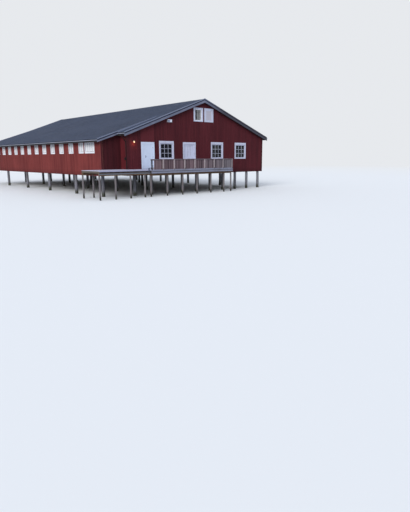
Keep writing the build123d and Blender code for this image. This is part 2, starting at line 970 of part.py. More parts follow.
with BuildPart() as door_handle:
    spindle_x = field[0] + (handle_board + 0.5) * board_width
    handle_z = floor_z + handle_level
    plate = (
        spindle_x - handle_plate_width / 2,
        spindle_x + handle_plate_width / 2,
        handle_z - handle_plate_height / 2,
        handle_z + handle_plate_height / 2,
    )
    pane(facing_front(field_face), plate, handle_plate_thickness)
    with BuildSketch(facing_front(field_face)):
        with Locations((spindle_x, handle_z)):
            Circle(handle_radius)
    extrude(amount=handle_stand)
    with BuildSketch(facing_right(spindle_x - handle_radius)):
        with Locations((field_face - handle_stand, handle_z)):
            Circle(handle_radius)
    extrude(amount=lever_length)
keep(door_handle, "door_handle")

# Deck
deck_front = front_y - deck_depth
deck_inner = deck_front + fascia_thickness
rail_back = deck_front + rail_post_depth
landing_front = rail_back
landing_inner = landing_front + fascia_thickness
deck_x0 = left_x + deck_left
deck_x1 = left_x + deck_right
deck_under = deck_z - deck_thickness
joist_under = deck_under - joist_depth
beam_under_z = joist_under - beam_depth
beam_y = landing_inner + beam_setback
landing_x0 = left_x - landing_reach
landing_x1 = deck_x0 - landing_joint

with BuildPart() as deck_floor:
    block(deck_x0, deck_x1, deck_inner, front_y, deck_under, deck_z)
    with BuildSketch(Plane.XY.offset(deck_under)):
        with BuildLine():
            Polyline(
                (landing_x0, landing_inner),
                (landing_x1, landing_inner),
                (landing_x1, front_y),
                (left_x, front_y),
                (left_x, aisle_front),
                (landing_x0, aisle_front),
                close=True,
            )
        make_face()
    extrude(amount=deck_thickness)
keep(deck_floor, "deck_floor")

lower_board_z = deck_z - fascia_board - fascia_seam - fascia_board

with BuildPart() as deck_fascia:
    for z in (lower_board_z, deck_z - fascia_board):
        block(deck_x0, deck_x1, deck_front, deck_inner, z, z + fascia_board)
    block(
        landing_x0,
        landing_x1,
        landing_front,
        landing_inner,
        deck_z - landing_fascia_depth,
        deck_z,
    )
    block(
        landing_x0,
        landing_x1,
        beam_y - joist_width - fascia_thickness,
        beam_y - joist_width,
        deck_z - landing_fascia_depth - landing_gap - landing_sub_fascia,
        deck_z - landing_fascia_depth - landing_gap,
    )
keep(deck_fascia, "deck_fascia")

joist_count = int((deck_x1 - deck_x0 - joist_width) // joist_pitch) + 1
landing_joist_count = int((landing_x1 - landing_x0 - joist_width) // joist_pitch) + 1

with BuildPart() as deck_joists:
    for n in range(joist_count):
        x = deck_x0 + n * joist_pitch
        block(x, x + joist_width, deck_inner, front_y, joist_under, deck_under)
    for n in range(landing_joist_count):
        x = landing_x0 + n * joist_pitch
        far = front_y if x + joist_width > left_x - corner_board_thickness else aisle_front
        block(x, x + joist_width, landing_inner, far, joist_under, deck_under)
keep(deck_joists, "deck_joists")

with BuildPart() as deck_beams:
    with BuildSketch(facing_right(deck_x0)) as beam_section:
        with Locations((beam_y, (joist_under + beam_under_z) / 2)):
            Rectangle(beam_web, beam_depth)
        for z in (joist_under - beam_flange / 2, beam_under_z + beam_flange / 2):
            with Locations((beam_y, z)):
                Rectangle(beam_flange_width, beam_flange)
    extrude(amount=deck_x1 - deck_x0)
    block(
        deck_x0,
        deck_x1,
        front_y - fascia_thickness,
        front_y,
        joist_under - ledger_depth,
        joist_under,
    )
    block(
        landing_x0,
        landing_x1,
        beam_y - joist_width,
        beam_y + joist_width,
        joist_under - ledger_depth,
        joist_under,
    )
    block(
        landing_x0,
        left_x,
        aisle_front - fascia_thickness,
        aisle_front,
        joist_under - ledger_depth,
        joist_under,
    )
keep(deck_beams, "deck_beams")

rail_post_xs = [deck_x0 + rail_post_width / 2 + n * rail_post_pitch for n in range(rail_post_count)]
deck_post_count = int((deck_x1 - deck_x0 - 2 * deck_post_size) // deck_post_pitch) + 1
deck_post_xs = [deck_x0 + deck_post_size / 2 + n * deck_post_pitch for n in range(deck_post_count)]
deck_post_xs.append(deck_x1 - deck_post_size / 2)
landing_post_count = int((landing_x1 - landing_x0 - deck_post_size) // landing_post_pitch) + 1
landing_post_xs = [
    landing_x0 + deck_post_size / 2 + n * landing_post_pitch for n in range(landing_post_count)
]

with BuildPart() as deck_posts:
    half = deck_post_size / 2
    for x in deck_post_xs:
        block(x - half, x + half, beam_y - half, beam_y + half, 0, beam_under_z)
    for x in landing_post_xs:
        block(
            x - half, x + half, beam_y - half, beam_y + half, 0, joist_under - ledger_depth
        )
    for x in (landing_post_xs[0], (landing_x0 + aisle_x) / 2 + half):
        y = aisle_front - half
        block(x - half, x + half, y - half, y + half, 0, joist_under - ledger_depth)
keep(deck_posts, "deck_posts")

# Railing
rail_z = floor_z + rail_top
board_top = rail_z - rail_cap_thickness

with BuildPart() as railing_posts:
    for x in rail_post_xs:
        block(
            x - rail_post_width / 2,
            x + rail_post_width / 2,
            deck_front,
            rail_back,
            deck_z,
            board_top,
        )
    block(
        deck_x1 - rail_post_depth,
        deck_x1,
        front_y - rail_post_width,
        front_y,
        deck_z,
        board_top,
    )
    # bars on the deck side, which the boards are nailed to
    bar_x = deck_x1 - rail_board_thickness - rail_bar_thickness
    bar_y = rail_back + rail_board_thickness
    for z in (deck_z + rail_bar_lift, board_top - rail_bar_depth):
        block(deck_x0, bar_x - board_joint, bar_y, bar_y + rail_bar_thickness, z, z + rail_bar_depth)
        block(
            bar_x,
            bar_x + rail_bar_thickness,
            bar_y + board_joint,
            front_y - rail_post_width - board_joint,
            z,
            z + rail_bar_depth,
        )
keep(railing_posts, "railing_posts")

with BuildPart() as railing_boards:
    block(
        rail_post_xs[0] + rail_post_width / 2 + rail_board_gap,
        deck_x1 - rail_board_thickness,
        rail_back,
        rail_back + rail_board_thickness,
        deck_z,
        board_top - rail_board_drop,
    )
    block(
        deck_x1 - rail_board_thickness,
        deck_x1,
        rail_back + rail_board_thickness + board_joint,
        front_y - rail_post_width,
        deck_z,
        board_top - rail_board_drop,
    )
keep(railing_boards, "railing_boards")

with BuildPart() as railing_cap:
    block(deck_x0, deck_x1, deck_front, deck_front + rail_cap_width, board_top, rail_z)
    block(
        deck_x1 - rail_cap_width,
        deck_x1,
        deck_front + rail_cap_width + board_joint,
        casing_face,
        board_top,
        rail_z,
    )
keep(railing_cap, "railing_cap")

with BuildPart() as bollard:
    x = left_x + bollard_x
    for width, depth, low, high in (
        (bollard_width, bollard_depth, -bollard_foot, bollard_height - bollard_cap),
        (bollard_cap_width, rail_post_depth, bollard_height - bollard_cap, bollard_height),
    ):
        block(
            x - width / 2,
            x + width / 2,
            landing_front - depth,
            landing_front,
            deck_z + low,
            deck_z + high,
        )
keep(bollard, "bollard")

# Fittings
with BuildPart() as wall_lamp:
    x = left_x + lamp_x
    y = front_y - lamp_stand - lamp_size / 2
    z = floor_z + lamp_level
    block(x - lamp_arm / 2, x + lamp_arm / 2, y, front_y, z, z + lamp_arm)
    with BuildSketch(Plane.XY.offset(z - lamp_height)):
        with Locations((x, y)):
            RegularPolygon(lamp_foot / 2, lamp_sides)
    with BuildSketch(Plane.XY.offset(z)):
        with Locations((x, y)):
            RegularPolygon(lamp_size / 2, lamp_sides)
    loft(ruled=True)
    with BuildSketch(Plane.XY.offset(z)):
        with Locations((x, y)):
            RegularPolygon(lamp_size / 2 + lamp_lip, lamp_sides)
    with BuildSketch(Plane.XY.offset(z + lamp_roof)):
        with Locations((x, y)):
            RegularPolygon(lamp_peak / 2, lamp_sides)
    loft(ruled=True)
keep(wall_lamp, "wall_lamp")

with BuildPart() as light_box:
    x = left_x + light_box_left
    z = floor_z + light_box_sill
    face_y = front_y - light_box_depth
    block(x, x + light_box_width, face_y, front_y, z, z + light_box_height)
    front = (x, x + light_box_width, z, z + light_box_height)
    glazed = inset(front, light_box_frame, light_box_frame, light_box_frame)
    pane(facing_front(face_y + light_box_recess), glazed, light_box_recess, Mode.SUBTRACT)
keep(light_box, "light_box")

with BuildPart() as meter_box:
    y = front_y + meter_box_y
    z = floor_z + meter_box_level
    block(
        left_x - meter_box_depth,
        left_x,
        y - meter_box_width / 2,
        y + meter_box_width / 2,
        z,
        z + meter_box_height,
    )
keep(meter_box, "meter_box")
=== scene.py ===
import math
import random

import bmesh
import bpy
from mathutils import Matrix, Vector


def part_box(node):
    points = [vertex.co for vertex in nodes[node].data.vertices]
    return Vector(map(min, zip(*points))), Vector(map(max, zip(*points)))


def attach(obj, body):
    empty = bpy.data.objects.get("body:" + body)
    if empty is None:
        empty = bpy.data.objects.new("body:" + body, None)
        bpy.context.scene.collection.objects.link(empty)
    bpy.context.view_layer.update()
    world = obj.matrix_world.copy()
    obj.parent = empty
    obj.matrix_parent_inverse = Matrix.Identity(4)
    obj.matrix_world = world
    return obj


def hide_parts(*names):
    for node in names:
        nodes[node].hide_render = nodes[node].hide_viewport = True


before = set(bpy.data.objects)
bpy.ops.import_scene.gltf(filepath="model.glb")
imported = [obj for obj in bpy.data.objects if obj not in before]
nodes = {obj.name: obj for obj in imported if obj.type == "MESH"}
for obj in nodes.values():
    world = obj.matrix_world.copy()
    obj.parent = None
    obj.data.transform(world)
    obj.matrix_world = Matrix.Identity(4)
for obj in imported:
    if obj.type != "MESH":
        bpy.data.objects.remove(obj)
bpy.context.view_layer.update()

# Piles: round spruce logs driven into the bed and cut off level under the hall. They are
# bare, silvered above, and dark and green where the water reaches. One log is modelled,
# and every copy is bowed and made uneven by itself.


def rgb(red, green, blue):
    # a paint chip's 0 to 255 reading as a linear colour
    chip = (red / 255, green / 255, blue / 255)
    return (*[c / 12.92 if c < 0.04045 else ((c + 0.055) / 1.055) ** 2.4 for c in chip], 1.0)


class Layer:
    # one value, colour or vector in a finish; arithmetic on it adds Math nodes
    def __init__(self, tree, socket=None):
        self.tree = tree
        self.socket = socket

    def feed(self, socket, value):
        # a layer is linked to the socket, and a plain value is set on it
        if isinstance(value, Layer):
            self.tree.links.new(value.socket, socket)
        else:
            socket.default_value = value

    def node(self, kind, settings=None, sockets=None, output=0):
        made = self.tree.nodes.new("ShaderNode" + kind)
        for name, value in (settings or {}).items():
            setattr(made, name, value)
        for name, value in (sockets or {}).items():
            self.feed(made.inputs[name], value)
        return Layer(self.tree, made.outputs[output])

    def maths(self, operation, second=0.0):
        return self.node("Math", {"operation": operation}, {0: self, 1: second})

    def __add__(self, other):
        return self.maths("ADD", other)

    __radd__ = __add__

    def __sub__(self, other):
        return self.maths("SUBTRACT", other)

    def __rsub__(self, other):
        return self.node("Math", {"operation": "SUBTRACT"}, {0: other, 1: self})

    def __mul__(self, other):
        return self.maths("MULTIPLY", other)

    __rmul__ = __mul__

    def __truediv__(self, other):
        return self.maths("DIVIDE", other)


def new_finish(name):
    material = bpy.data.materials.new(name)
    material.use_nodes = True
    return material, Layer(material.node_tree)


def axis(start, letter):
    # a point's place along one axis, in metres
    place = start.node("TexCoord", output="Object")
    return start.node("SeparateXYZ", sockets={0: place}, output=letter)


def noise(start, stretch, detail=3.0, roughness=0.55, warp=0.0):
    # cloudy variation from 0 to 1, with its own scale along X, Y and Z
    place = start.node("TexCoord", output="Object")
    scaled = start.node("Mapping", sockets={"Vector": place, "Scale": stretch})
    sockets = {"Vector": scaled, "Scale": 1.0, "Detail": detail, "Roughness": roughness}
    sockets["Distortion"] = warp
    return start.node("TexNoise", sockets=sockets)


def ease(value, low, high):
    # 0 below low, 1 above high, straight between them
    sockets = {"Value": value, "From Min": low, "From Max": high}
    return value.node("MapRange", {"clamp": True}, sockets)


def blend(share, low, high):
    # one colour gives way to another as share goes from 0 to 1
    return share.node("Mix", {"data_type": "RGBA"}, {0: share, 6: low, 7: high}, output=2)


def surface(start, colour, roughness, height=None, depth=0.002, **others):
    # joins the layers to the shader; depth is the relief of height from 0 to 1, in metres
    inputs = {"Base_Color": colour, "Roughness": roughness, **others}
    if height is not None:
        relief = {"Strength": 1.0, "Distance": depth, "Height": height}
        inputs["Normal"] = start.node("Bump", sockets=relief)
    shader = start.tree.nodes["Principled BSDF"]
    for name, value in inputs.items():
        start.feed(shader.inputs[name.replace("_", " ")], value)


def dress(piece, material):
    piece.data.materials.clear()
    piece.data.materials.append(material)


def select_only(*pieces):
    bpy.ops.object.select_all(action="DESELECT")
    for piece in pieces:
        piece.select_set(True)
    bpy.context.view_layer.objects.active = pieces[0]


def solids_of(node):
    # lowest and highest corner of each separate solid in a CAD node
    mesh = bmesh.new()
    mesh.from_mesh(nodes[node].data)
    bmesh.ops.remove_doubles(mesh, verts=mesh.verts, dist=1e-5)
    waiting = set(mesh.verts)
    boxes = []
    while waiting:
        reached = [waiting.pop()]
        found = []
        while reached:
            vert = reached.pop()
            found.append(vert.co.copy())
            for link in vert.link_edges:
                other = link.other_vert(vert)
                if other in waiting:
                    waiting.remove(other)
                    reached.append(other)
        low = Vector([min(p[i] for p in found) for i in range(3)])
        high = Vector([max(p[i] for p in found) for i in range(3)])
        boxes.append((low, high))
    mesh.free()
    return sorted(boxes, key=lambda box: tuple(round(c, 4) for c in box[0]))


def copy_of(model):
    # the model again, with its own mesh
    piece = model.copy()
    piece.data = model.data.copy()
    bpy.context.scene.collection.objects.link(piece)
    return piece


def joined(pieces, name):
    # several meshes as one piece
    select_only(*pieces)
    bpy.ops.object.join()
    pieces[0].name = name
    return pieces[0]


def smooth(piece, degrees):
    select_only(piece)
    bpy.ops.object.shade_smooth_by_angle(angle=math.radians(degrees))


def fit(piece, material, replaces=None):
    # a new piece's finish and what the piece says of itself
    dress(piece, material)
    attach(piece, "building")
    if replaces:
        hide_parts(replaces)


pile_boxes = solids_of("piles")
pile_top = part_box("piles")[1].z
pile_radius = (pile_boxes[0][1].y - pile_boxes[0][0].y) / 2
pile_sides = 28
pile_rings = 7
pile_taper = 0.93
pile_bow = 0.012
# a log's shrinkage inside its CAD cylinder, and its swellings: how many go round it, their
# height, both as shares of the radius, and how they wind upwards
pile_shrinkage = 0.06
pile_swellings = ((2, 0.011, 1.3), (3, 0.007, -2.1), (5, 0.005, 4.0))

bpy.ops.object.select_all(action="DESELECT")
bpy.ops.mesh.primitive_cylinder_add(
    vertices=pile_sides, radius=pile_radius, depth=pile_top, location=(0, 0, pile_top / 2)
)
pile = bpy.context.object
bpy.ops.object.transform_apply(location=True, rotation=True, scale=True)
bpy.ops.object.mode_set(mode="EDIT")
bpy.ops.mesh.select_mode(type="EDGE")
bpy.ops.mesh.select_all(action="DESELECT")
bpy.ops.object.mode_set(mode="OBJECT")
for edge in pile.data.edges:
    ends = [pile.data.vertices[v].co.z for v in edge.vertices]
    edge.select = abs(ends[0] - ends[1]) > pile_top / 2
bpy.ops.object.mode_set(mode="EDIT")
bpy.ops.mesh.subdivide(number_cuts=pile_rings)
bpy.ops.object.mode_set(mode="OBJECT")
for vert in pile.data.vertices:
    narrow = 1 + (pile_taper - 1) * vert.co.z / pile_top
    vert.co.x *= narrow
    vert.co.y *= narrow

pile_draw = random.Random(4)
logs = []
for low, high in pile_boxes:
    log = copy_of(pile)
    bow = Vector((pile_draw.uniform(-1, 1), pile_draw.uniform(-1, 1), 0)) * pile_bow
    waves = [pile_draw.uniform(0, math.tau) for _ in pile_swellings]
    for vert in log.data.vertices:
        turn = math.atan2(vert.co.y, vert.co.x)
        inward = pile_shrinkage
        for (around, share, wind), wave in zip(pile_swellings, waves):
            inward += share * math.sin(around * turn + wave + wind * vert.co.z)
        vert.co.x -= vert.co.x * inward
        vert.co.y -= vert.co.y * inward
        vert.co += bow * math.sin(math.pi * vert.co.z / pile_top)
    centre = (low + high) / 2
    log.data.transform(Matrix.Translation((centre.x, centre.y, 0)))
    logs.append(log)
bpy.data.objects.remove(pile)
piles = joined(logs, "pile_logs")
smooth(piles, 50)

pile_finish, wood = new_finish("pile_log")
grain = noise(wood, (22, 22, 1.6), detail=5)
checks = ease(noise(wood, (48, 48, 0.9), detail=3, warp=0.3), 0.60, 0.66)
patches = noise(wood, (1.3, 1.3, 0.9))
bare = blend(grain, rgb(98, 98, 106), rgb(138, 139, 148))
bare = blend(ease(patches, 0.45, 0.75), bare, rgb(94, 90, 92))
dry = ease(axis(wood, "Z") + 0.25 * noise(wood, (5, 5, 2)), 0.34, 0.62)
soaked = blend(grain, rgb(38, 36, 33), rgb(66, 64, 54))
weed = noise(wood, (9, 9, 5), detail=5)
soaked = blend(ease(weed, 0.52, 0.62), soaked, rgb(52, 62, 36))
colour = blend(checks, blend(dry, soaked, bare), rgb(40, 36, 34))
surface(wood, colour, 0.55 + 0.35 * dry, grain * 0.5 - checks, 0.012)
fit(piles, pile_finish, "piles")

# Ground frame: sawn spruce sills on the pile heads, the boarded floors and the posts and
# beam between the hall and its aisle. All of it is bare timber, seen from below the
# building and through its windows.
floor_board_width = 0.14


def chance(value, seed=0.0):
    # an even random number for each whole number
    sockets = {"W": value.maths("FLOOR") + seed}
    return value.node("TexWhiteNoise", {"noise_dimensions": "1D"}, sockets)


def joint_between(place):
    # 1 at the joints of boards side by side, where place counts the boards
    return ease((place.maths("FRACT") - 0.5).maths("ABSOLUTE"), 0.47, 0.49)


def sawn(name, low_tone, high_tone, along, board_width=None):
    # timber with its grain along one axis, in boards side by side if their width is given
    material, wood = new_finish(name)
    stretch = [26.0, 26.0, 26.0]
    stretch[along] = 1.7
    grain = noise(wood, stretch, detail=5, warp=0.15)
    stain = noise(wood, (0.9, 0.9, 0.7), detail=4)
    colour = blend(ease(grain, 0.3, 0.7), low_tone, high_tone)
    colour = blend(ease(stain, 0.5, 0.8), colour, blend(grain, rgb(70, 62, 58), low_tone))
    height = grain * 0.4
    if board_width:
        place = axis(wood, "X") / board_width
        colour = blend(ease(chance(place), 0.55, 1.0), colour, low_tone)
        joint = joint_between(place)
        colour = blend(joint, colour, rgb(26, 22, 20))
        height = height - joint
    surface(wood, colour, 0.8, height, 0.003)
    return material


def dress_cad(material, *names):
    for name in names:
        dress(nodes[name], material)


floor_boards = sawn("floor_boards", rgb(118, 96, 76), rgb(150, 126, 100), 1, floor_board_width)
sill_timber = sawn("sill_timber", rgb(74, 66, 60), rgb(104, 94, 84), 0)
aisle_tones = (rgb(112, 92, 74), rgb(140, 118, 94))
dress_cad(floor_boards, "floor", "loft_floor")
dress_cad(sill_timber, "sill_beams", "deck_joists")
dress_cad(sawn("aisle_timber", *aisle_tones, 1), "aisle_beam")
dress_cad(sawn("aisle_post_timber", *aisle_tones, 2), "aisle_posts")

# Walls: upright boards on boards, painted dark red outside and bare within. The CAD walls
# are the under-boards; over-boards with eased edges are nailed over their joints and are
# sawn off under the roof and round every casing, deck and fitting.
cover_width = 0.125
cover_pitch = 0.19
cover_thickness = 0.018
cover_ease = 0.003
saw_gap = 0.006
roof_gap = 0.004
corner_width = 0.12

roof_low, roof_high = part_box("roof_left")
left_eave_x, ridge_x, ridge_z = roof_low.x, roof_high.x, roof_high.z
gable_low, gable_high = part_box("front_gable")
left_x, right_x, front_y = gable_low.x, gable_high.x, gable_low.y
inner_face = 0.002
skin = gable_high.y - front_y - inner_face
roof_thickness = ridge_z - gable_high.z
slope = (ridge_z - roof_low.z - roof_thickness) / (ridge_x - left_eave_x)
back_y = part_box("back_gable")[1].y
aisle_x, aisle_front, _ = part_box("aisle_side_wall")[0]
aisle_roof_low, aisle_roof_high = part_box("aisle_roof")
meet_x, meet_z = aisle_roof_high.x, aisle_roof_high.z
aisle_slope = (meet_z - aisle_roof_low.z - roof_thickness) / (meet_x - aisle_roof_low.x)
skirt_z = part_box("front_wall_left")[0].z
deck_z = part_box("deck_floor")[1].z
fascia_low, fascia_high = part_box("deck_fascia")


def shape(piece, kind, **settings):
    # one modifier, set and applied
    step = piece.modifiers.new("shape", kind)
    for name, value in settings.items():
        setattr(step, name, value)
    select_only(piece)
    bpy.ops.object.modifier_apply(modifier=step.name)


def beam(low, high, edge=0.0, name="board"):
    # a sawn length of timber between two corners, its edges eased by the given width
    low, high = Vector(low), Vector(high)
    bpy.ops.object.select_all(action="DESELECT")
    bpy.ops.mesh.primitive_cube_add(size=1, location=(low + high) / 2, scale=high - low)
    piece = bpy.context.object
    piece.name = name
    bpy.ops.object.transform_apply(location=True, rotation=True, scale=True)
    if edge:
        shape(piece, "BEVEL", width=edge, segments=1, limit_method="ANGLE")
    return piece


def repeat(piece, count, step):
    shape(
        piece, "ARRAY", use_relative_offset=False, use_constant_offset=True,
        constant_offset_displace=step, count=count,
    )


def saw(piece, point, outward):
    # cuts along a plane, takes away what lies outward of it and closes the ends
    select_only(piece)
    bpy.ops.object.mode_set(mode="EDIT")
    bpy.ops.mesh.select_all(action="SELECT")
    bpy.ops.mesh.bisect(plane_co=point, plane_no=outward, use_fill=True, clear_outer=True)
    bpy.ops.object.mode_set(mode="OBJECT")


def notch(piece, low, high):
    # takes a box out of a piece
    cutter = beam(low, high)
    shape(piece, "BOOLEAN", operation="DIFFERENCE", solver="EXACT", object=cutter)
    bpy.data.objects.remove(cutter)


def saw_under_roof(piece, aisle):
    # the aisle's roof lies flatter than the hall's
    drop = roof_thickness + roof_gap
    if aisle:
        saw(piece, (meet_x, 0, meet_z - drop), (-aisle_slope, 0, 1))
        return
    for side in (-1, 1):
        saw(piece, (ridge_x, 0, ridge_z - drop), (side * slope, 0, 1))


def box_of(one, other):
    # lowest and highest corner of the box between two points
    pairs = list(zip(one, other))
    return [min(pair) for pair in pairs], [max(pair) for pair in pairs]


def overlaps(low, high, other_low, other_high):
    return all(low[i] < other_high[i] and other_low[i] < high[i] for i in range(3))


def cladding(name, start, end, facing, holes, aisle):
    # over-boards from start to end along a wall; facing is the wall's outward direction
    start, end = Vector((*start, 0)), Vector((*end, 0))
    proud = Vector((*facing, 0)) * cover_thickness
    length = (end - start).length
    along = (end - start).normalized()
    count = int((length - cover_width) // cover_pitch) + 1
    spare = length - cover_width - (count - 1) * cover_pitch
    corner = start + along * spare / 2 + Vector((0, 0, skirt_z))
    far = corner + along * cover_width + proud + Vector((0, 0, ridge_z - skirt_z))
    boards = beam(*box_of(corner, far), cover_ease, name)
    repeat(boards, count, along * cover_pitch)
    saw_under_roof(boards, aisle)
    wall_low, wall_high = box_of(start, end + proud)
    wall_low[2], wall_high[2] = skirt_z, ridge_z
    spread = Vector([saw_gap] * 3)
    for hole_low, hole_high in holes:
        hole_low, hole_high = hole_low - spread, hole_high + spread
        if overlaps(hole_low, hole_high, wall_low, wall_high):
            notch(boards, hole_low, hole_high)
    return boards


def shade_of(tone, share):
    # a darker or lighter shade of the same colour
    return (*[channel * share for channel in tone[:3]], 1.0)


def between(value, low, high, edge):
    # 1 from low to high and 0 outside, changing within edge
    return ease(value, low, low + edge) - ease(value, high - edge, high)


def painted_boards(name, run, hidden_from, inward, low_tone, high_tone, patch=None):
    # paint on upright boards: run is the axis along the wall, and what lies past
    # hidden_from on the axis across it, on the inward side, is bare timber; a patch is
    # a newer stretch between two places along the wall, above a height
    material, paint = new_finish(name)
    place = axis(paint, run)
    height = axis(paint, "Z")
    board_tone = chance(place / cover_pitch, seed=7.0)
    grain = noise(paint, (34, 34, 1.3), detail=4, warp=0.2)
    weather = noise(paint, (0.55, 0.55, 0.22), detail=4)
    streaks = noise(paint, (5.5, 5.5, 0.35), detail=3)
    colour = blend(board_tone, low_tone, high_tone)
    colour = blend(ease(weather, 0.42, 0.72) * 0.7, colour, shade_of(high_tone, 1.3))
    colour = blend(ease(streaks, 0.52, 0.76) * 0.6, colour, shade_of(low_tone, 0.6))
    worn = ease(grain, 0.60, 0.74) * ease(weather, 0.48, 0.66)
    colour = blend(worn * 0.35, colour, rgb(116, 72, 74))
    if patch:
        first, last, foot = patch
        newer = between(place, first, last + 0.01, 0.01) * ease(height, foot, foot + 0.01)
        colour = blend(newer * 0.7, colour, rgb(98, 39, 47))
    splash = 1 - ease(height + 0.35 * (streaks - 0.5), skirt_z, skirt_z + 0.45)
    colour = blend(splash * 0.6, colour, shade_of(low_tone, 0.55))
    within = ease(axis(paint, "Y" if run == "X" else "X"), hidden_from - 0.01, hidden_from)
    if inward < 0:
        within = 1 - within
    colour = blend(within, colour, blend(grain, rgb(118, 98, 78), rgb(150, 128, 102)))
    height = grain * 0.5 + streaks * 0.2
    surface(paint, colour, 0.66 + 0.2 * grain, height, 0.003, Specular_IOR_Level=0.2)
    return material


# what the boards are sawn round: casings, the door down to the deck, the deck itself and
# the fittings; the boxes of the door and decks reach far enough to clear a wall's boards
casing_boxes = solids_of("front_casings") + solids_of("side_casings")
door_low, door_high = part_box("door_frame")
front_holes = casing_boxes + [
    (Vector((door_low.x, door_low.y, deck_z)), Vector((door_high.x, front_y + 0.1, door_high.z))),
    (Vector((left_x - 1, front_y - 1, skirt_z - 1)), Vector((fascia_high.x, front_y, deck_z))),
    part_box("light_box"),
    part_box("wall_lamp"),
]
front_holes += [box for box in solids_of("railing_posts") if box[1].y > front_y - 0.01]
side_holes = casing_boxes + [
    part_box("meter_box"),
    (Vector((fascia_low.x, aisle_front - 1, skirt_z - 1)), Vector((left_x, aisle_front, deck_z))),
    (Vector((left_x - 0.5, front_y, skirt_z - 1)), Vector((left_x, aisle_front, deck_z))),
]

dark_red = (rgb(71, 24, 33), rgb(83, 30, 38))
# a paler red for the aisle's long side
pale_side_red = (rgb(102, 43, 44), rgb(124, 56, 54))
return_red = (rgb(82, 24, 31), rgb(96, 31, 37))
# the aisle's front end gets the red darkened as painted shade
shaded_aisle_end_tones = (rgb(58, 18, 25), rgb(70, 24, 31))
door_patch = (door_low.x, door_high.x, door_high.z)
front_red = painted_boards("red_front", "X", front_y + skin, 1, *dark_red, door_patch)
back_red = painted_boards("red_back", "X", back_y - skin, -1, *dark_red)
right_red = painted_boards("red_right", "Y", right_x - skin, -1, *dark_red)
left_red = painted_boards("red_left", "Y", left_x + skin, 1, *return_red)
aisle_red = painted_boards("red_aisle", "Y", aisle_x + skin, 1, *pale_side_red)
shaded_aisle_end_red = painted_boards("red_aisle_front_shaded", "X", aisle_front + skin, 1, *shaded_aisle_end_tones)
dress_cad(front_red, "front_wall_left", "front_wall_over_door", "front_wall_under_door")
dress_cad(front_red, "front_wall_right", "front_gable")
dress_cad(back_red, "back_gable", "back_wall", "aisle_back_wall")
dress_cad(right_red, "right_wall")
dress_cad(left_red, "left_wall_front")
dress_cad(aisle_red, "aisle_side_wall")
dress_cad(shaded_aisle_end_red, "aisle_front_wall")

# each run's name, its ends, the way it faces, what it is sawn round, its paint, and
# whether it ends under the aisle's roof
wall_runs = (
    ("front_cover_boards", (left_x + corner_width, front_y), (right_x - corner_width, front_y),
     (0, -1), front_holes, front_red, False),
    ("back_cover_boards", (left_eave_x, back_y), (right_x - corner_width, back_y),
     (0, 1), casing_boxes, back_red, False),
    ("aisle_back_cover_boards", (aisle_x + corner_width, back_y), (left_eave_x, back_y),
     (0, 1), casing_boxes, back_red, True),
    ("right_cover_boards", (right_x, front_y + corner_width), (right_x, back_y - corner_width),
     (1, 0), casing_boxes, right_red, False),
    ("left_cover_boards", (left_x, front_y + corner_width), (left_x, aisle_front),
     (-1, 0), side_holes, left_red, False),
    ("aisle_cover_boards", (aisle_x, aisle_front + corner_width),
     (aisle_x, back_y - corner_width), (-1, 0), side_holes, aisle_red, True),
    ("aisle_front_cover_boards", (aisle_x + corner_width, aisle_front),
     (left_eave_x, aisle_front), (0, -1), side_holes, shaded_aisle_end_red, True),
    ("eave_cover_boards", (left_eave_x, aisle_front), (left_x - cover_thickness, aisle_front),
     (0, -1), side_holes, shaded_aisle_end_red, False),
)
for name, start, end, facing, holes, finish, aisle in wall_runs:
    boards = cladding(name, start, end, facing, holes, aisle)
    fit(boards, finish)

# Corner boards: planed boards that lap at the corners and cover the cladding's ends,
# painted the same red a shade darker, and paler on the aisle's long side.
trim_red, paint = new_finish("red_trim")
grain = noise(paint, (40, 40, 1.1), detail=4)
weather = ease(noise(paint, (2.2, 2.2, 0.5), detail=3), 0.35, 0.7)
long_side = 1 - ease(axis(paint, "X"), aisle_x - 0.001, aisle_x)
colour = blend(weather, rgb(64, 22, 30), rgb(78, 28, 36))
colour = blend(long_side, colour, blend(weather, *pale_side_red))
surface(paint, colour, 0.6, grain, 0.002, Specular_IOR_Level=0.2)
dress_cad(trim_red, "corner_boards")

# Roof: slates in courses on a boarded deck. Each slate laps the one below by half and
# breaks joint with it, and no two lie quite alike. The courses run on from the hall's
# slope over the aisle.
slate_width = 0.30
slate_course = 0.22
slate_length = 0.44
slate_thickness = 0.007
slate_gap = 0.004
slate_reach = 0.045
slate_lift = 0.0022
slate_slip = 0.004
slate_corners = 8
ridge_lap = 0.01
roof_board_width = 0.15
roof_front, roof_back = roof_low.y, roof_high.y
aisle_verge = aisle_roof_low.y


def roof_boards(name, front_end, back_end):
    # tarred boards below, with the deck's ends darkened between flashing and bargeboard as painted
    # shade
    material, wood = new_finish(name)
    grain = noise(wood, (26, 1.7, 26), detail=5, warp=0.15)
    joint = joint_between(axis(wood, "X") / roof_board_width)
    colour = blend(grain, rgb(32, 29, 34), rgb(52, 47, 51))
    colour = blend(joint, colour, rgb(20, 17, 18))
    inner = between(axis(wood, "Y"), front_end + 0.005, back_end - 0.005, 0.005)
    # painted shade: the deck's ends are darkened and blued
    colour = blend(1 - inner, colour, blend(grain, rgb(18, 23, 44), rgb(28, 34, 60)))
    surface(wood, colour, 0.8, grain * 0.4 - joint, 0.003)
    return material


dress_cad(roof_boards("roof_boards", roof_front, roof_back), "roof_left", "roof_right")
dress_cad(roof_boards("aisle_roof_boards", aisle_verge, roof_back), "aisle_roof")

run_per_course = slate_course * math.cos(math.atan(slope))
slate_draw = random.Random(11)


